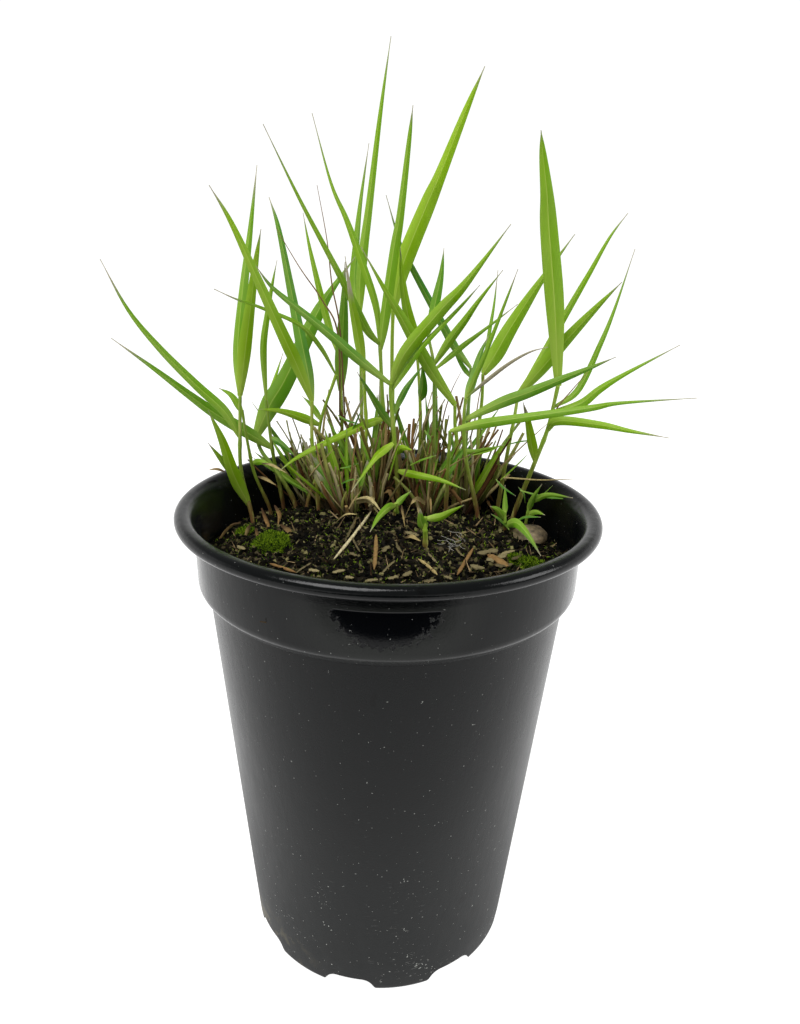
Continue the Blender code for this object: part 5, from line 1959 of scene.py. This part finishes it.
DEAD_LEAVES = (
    (0.9, 0.75, ((262, 463, 20), (272, 464, 19), (287, 473, 18))),
    (1.0, 0.6, ((258, 476, 21), (266, 478, 20), (276, 485, 19))),
    (0.8, 0.45, ((225, 472, 20), (217, 470, 19), (209, 470, 18))),
    (1.3, 0.42, ((241, 522, 14), (228, 530, 9), (214, 549, 5))),
    (1.2, 0.55, ((251, 525, 8), (248, 533, 6), (244, 544, 4))),
    (0.8, 0.35, ((256, 528, 6), (259, 536, 4), (263, 548, 1))),
    (1.2, 0.6, ((405, 537, -7), (412, 535, -8), (421, 541, -9))),
    (1.2, 0.42, ((281, 524, 8), (292, 532, 4), (304, 552, -2))),
    (0.8, 0.3, ((262, 508, 16), (267, 520, 12), (270, 530, 8))),
    (0.8, 0.35, ((275, 505, 16), (280, 514, 12), (278, 526, 8))),
    (0.7, 0.7, ((331, 527, 6), (345, 514, 8), (357, 514, 8))),
    (0.6, 0.55, ((345, 545, -2), (352, 530, 3), (357, 515, 7))),
    (0.9, 0.75, ((417, 500, 8), (421, 515, 4), (423, 532, 0))),
    (0.7, 0.55, ((402, 505, 8), (404, 515, 5), (405, 527, 2))),
)

YOUNG_LEAVES = (
    (0.75, 0.8, ((520, 490, 14), (545, 496, 13), (572, 499, 12))),
    (0.7, 0.95, ((529, 505, 14), (534, 495, 15), (540, 486, 16))),
    (0.6, 0.55, ((531, 505, 14), (541, 496, 14), (553, 485, 14))),
    (0.9, 1.0, ((515, 521, 11), (526, 516, 10), (541, 517, 9))),
    (0.8, 0.95, ((496, 479, 16), (504, 487, 15), (516, 496, 14))),
    (0.9, 1.0, ((509, 530, 8), (500, 521, 9), (491, 514, 10))),
    (0.7, 0.85, ((525, 503, 15), (523, 494, 15), (518, 487, 15))),
    (0.6, 0.7, ((505, 520, 12), (504, 505, 13), (504, 491, 14))),
    (0.7, 0.95, ((337, 486, 12), (348, 480, 12), (360, 478, 12))),
    (0.7, 0.9, ((340, 468, 14), (349, 466, 14), (359, 463, 14))),
    (0.9, 0.95, ((346, 441, 22), (354, 425, 22), (362, 408, 22))),
    (0.8, 1.0, ((338, 415, 24), (348, 420, 24), (360, 424, 24))),
    (0.9, 0.5, ((338, 447, 20), (346, 462, 18), (356, 478, 16))),
    (1.0, 0.9, ((425, 430, 24), (432, 440, 22), (434, 455, 20))),
    (0.9, 0.6, ((410, 465, 18), (422, 459, 17), (437, 455, 16))),
    (0.8, 0.35, ((472, 455, 18), (490, 450, 17), (503, 444, 16))),
    (0.7, 0.8, ((505, 445, 22), (520, 441, 21), (535, 440, 20))),
    (0.9, 0.4, ((500, 480, 18), (515, 466, 18), (528, 454, 18))),
    (0.9, 0.6, ((372, 470, 14), (364, 450, 15), (358, 432, 16))),
    (0.7, 0.3, ((388, 480, 10), (395, 455, 12), (404, 432, 14))),
)

CHIPS = (
    (1.5, 0.62, (478, 561), (497, 557)), (1.3, 0.75, (486, 566), (506, 560)),
    (1.1, 0.5, (495, 571), (512, 569)), (0.9, 0.85, (500, 562), (514, 557)),
    (1.2, 0.66, (470, 571), (484, 574)), (0.9, 0.4, (512, 566), (520, 560)),
    (1.0, 0.9, (309, 574), (319, 576)), (0.8, 0.8, (333, 577), (345, 574)),
    (0.9, 0.85, (345, 582), (353, 583)), (0.9, 0.82, (238, 550), (245, 554)),
    (0.8, 0.7, (366, 585), (378, 584)), (1.0, 0.65, (403, 581), (411, 576)),
    (0.9, 0.6, (383, 556), (389, 550)), (1.2, 0.7, (405, 537), (418, 541)),
    (0.7, 0.55, (350, 556), (357, 559)), (0.8, 0.72, (388, 583), (398, 580)),
    (0.8, 0.52, (424, 586), (436, 584)), (0.7, 0.66, (444, 580), (452, 583)),
    (0.45, 0.55, (296, 576), (311, 566)), (0.4, 0.6, (382, 576), (395, 563)),
    (0.35, 0.5, (352, 540), (360, 556)), (0.4, 0.7, (330, 520), (352, 512)),
    (0.45, 0.45, (345, 545), (356, 520)), (0.35, 0.65, (437, 566), (428, 556)),
    (0.5, 0.5, (396, 545), (402, 556)), (0.4, 0.58, (464, 560), (456, 551)),
    (0.35, 0.72, (290, 588), (303, 584)),
)


CRUMB_TINTS = {
    "crumb_peat": ((0.0006, 0.0006, 0.0004), (0.0060, 0.0046, 0.0022)),
    "crumb_grit": ((0.003, 0.0026, 0.0008), (0.19, 0.17, 0.07)),
    "crumb_bark": ((0.014, 0.007, 0.003), (0.28, 0.20, 0.10)),
    "crumb_moss": ((0.008, 0.020, 0.002), (0.16, 0.24, 0.015)),
    "moss_mound": ((0.003, 0.006, 0.001), (0.03, 0.055, 0.005)),
    "moss_leaflet": ((0.006, 0.022, 0.001), (0.17, 0.27, 0.010)),
    "bark": ((0.016, 0.011, 0.005), (0.25, 0.21, 0.105)),
    "root": ((0.12, 0.115, 0.10), (0.30, 0.29, 0.255)),
}

CRUMBS = (
    ("crumb_peat", Scatter(Crumb.LUMP, 80.0, (0.4, 2.6), (1.0, 0.8, 0.7), 1.0, 11)),
    ("crumb_grit", Scatter(Crumb.LUMP, 28.0, (0.25, 2.4), (1.0, 0.75, 0.5), 1.0, 23)),
    ("crumb_bark", Scatter(Crumb.FIBRE, 11.0, (0.8, 4.6), (0.17, 0.08, 1.0), 1.0, 37)),
    ("crumb_moss", Scatter(Crumb.LEAFLET, 60.0, (0.4, 1.3), (0.34, 0.34, 1.0), 0.7, 53)),
)


def crumbly(name: str) -> bpy.types.Material:
    """The crumbs' finish of this name, between its dark and its pale tint."""
    dark, pale = CRUMB_TINTS[name]
    return CrumbFinish(name, dark=dark, pale=pale).made()


def main() -> None:
    """Build the plant in its pot, piece by piece."""
    logging.basicConfig(level=logging.INFO, format="%(message)s")
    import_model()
    Studio().build()
    sweeper = Sweeper()
    straw = StrawFinish().made()
    NurseryPot().build(PlasticFinish().made())
    soil = MixFinish().made()
    GrowingMix().build(soil, [(scatter, crumbly(name)) for name, scatter in CRUMBS])
    MossCushions(PATCHES).build(crumbly("moss_mound"), crumbly("moss_leaflet"))
    Pebble().build(StoneFinish().made())
    litter = Litter(STICKS, sweeper)
    litter.build(straw)
    litter.build_chips(crumbly("bark"))
    extras = Extras(sweeper)
    extras.build_dry_stems(straw)
    leaf = LeafFinish().made()
    extras.build_leaves("dead_leaves", DEAD_LEAVES, 1.0, straw)
    extras.build_leaves("young_leaves", YOUNG_LEAVES, 0.05, leaf)
    extras.build_roots(crumbly("root"))
    Straw(TUFTS, sweeper).build(straw, leaf)
    Grass(SHOOTS, sweeper).build(leaf, CulmFinish().made())


if __name__ == "__main__":
    main()
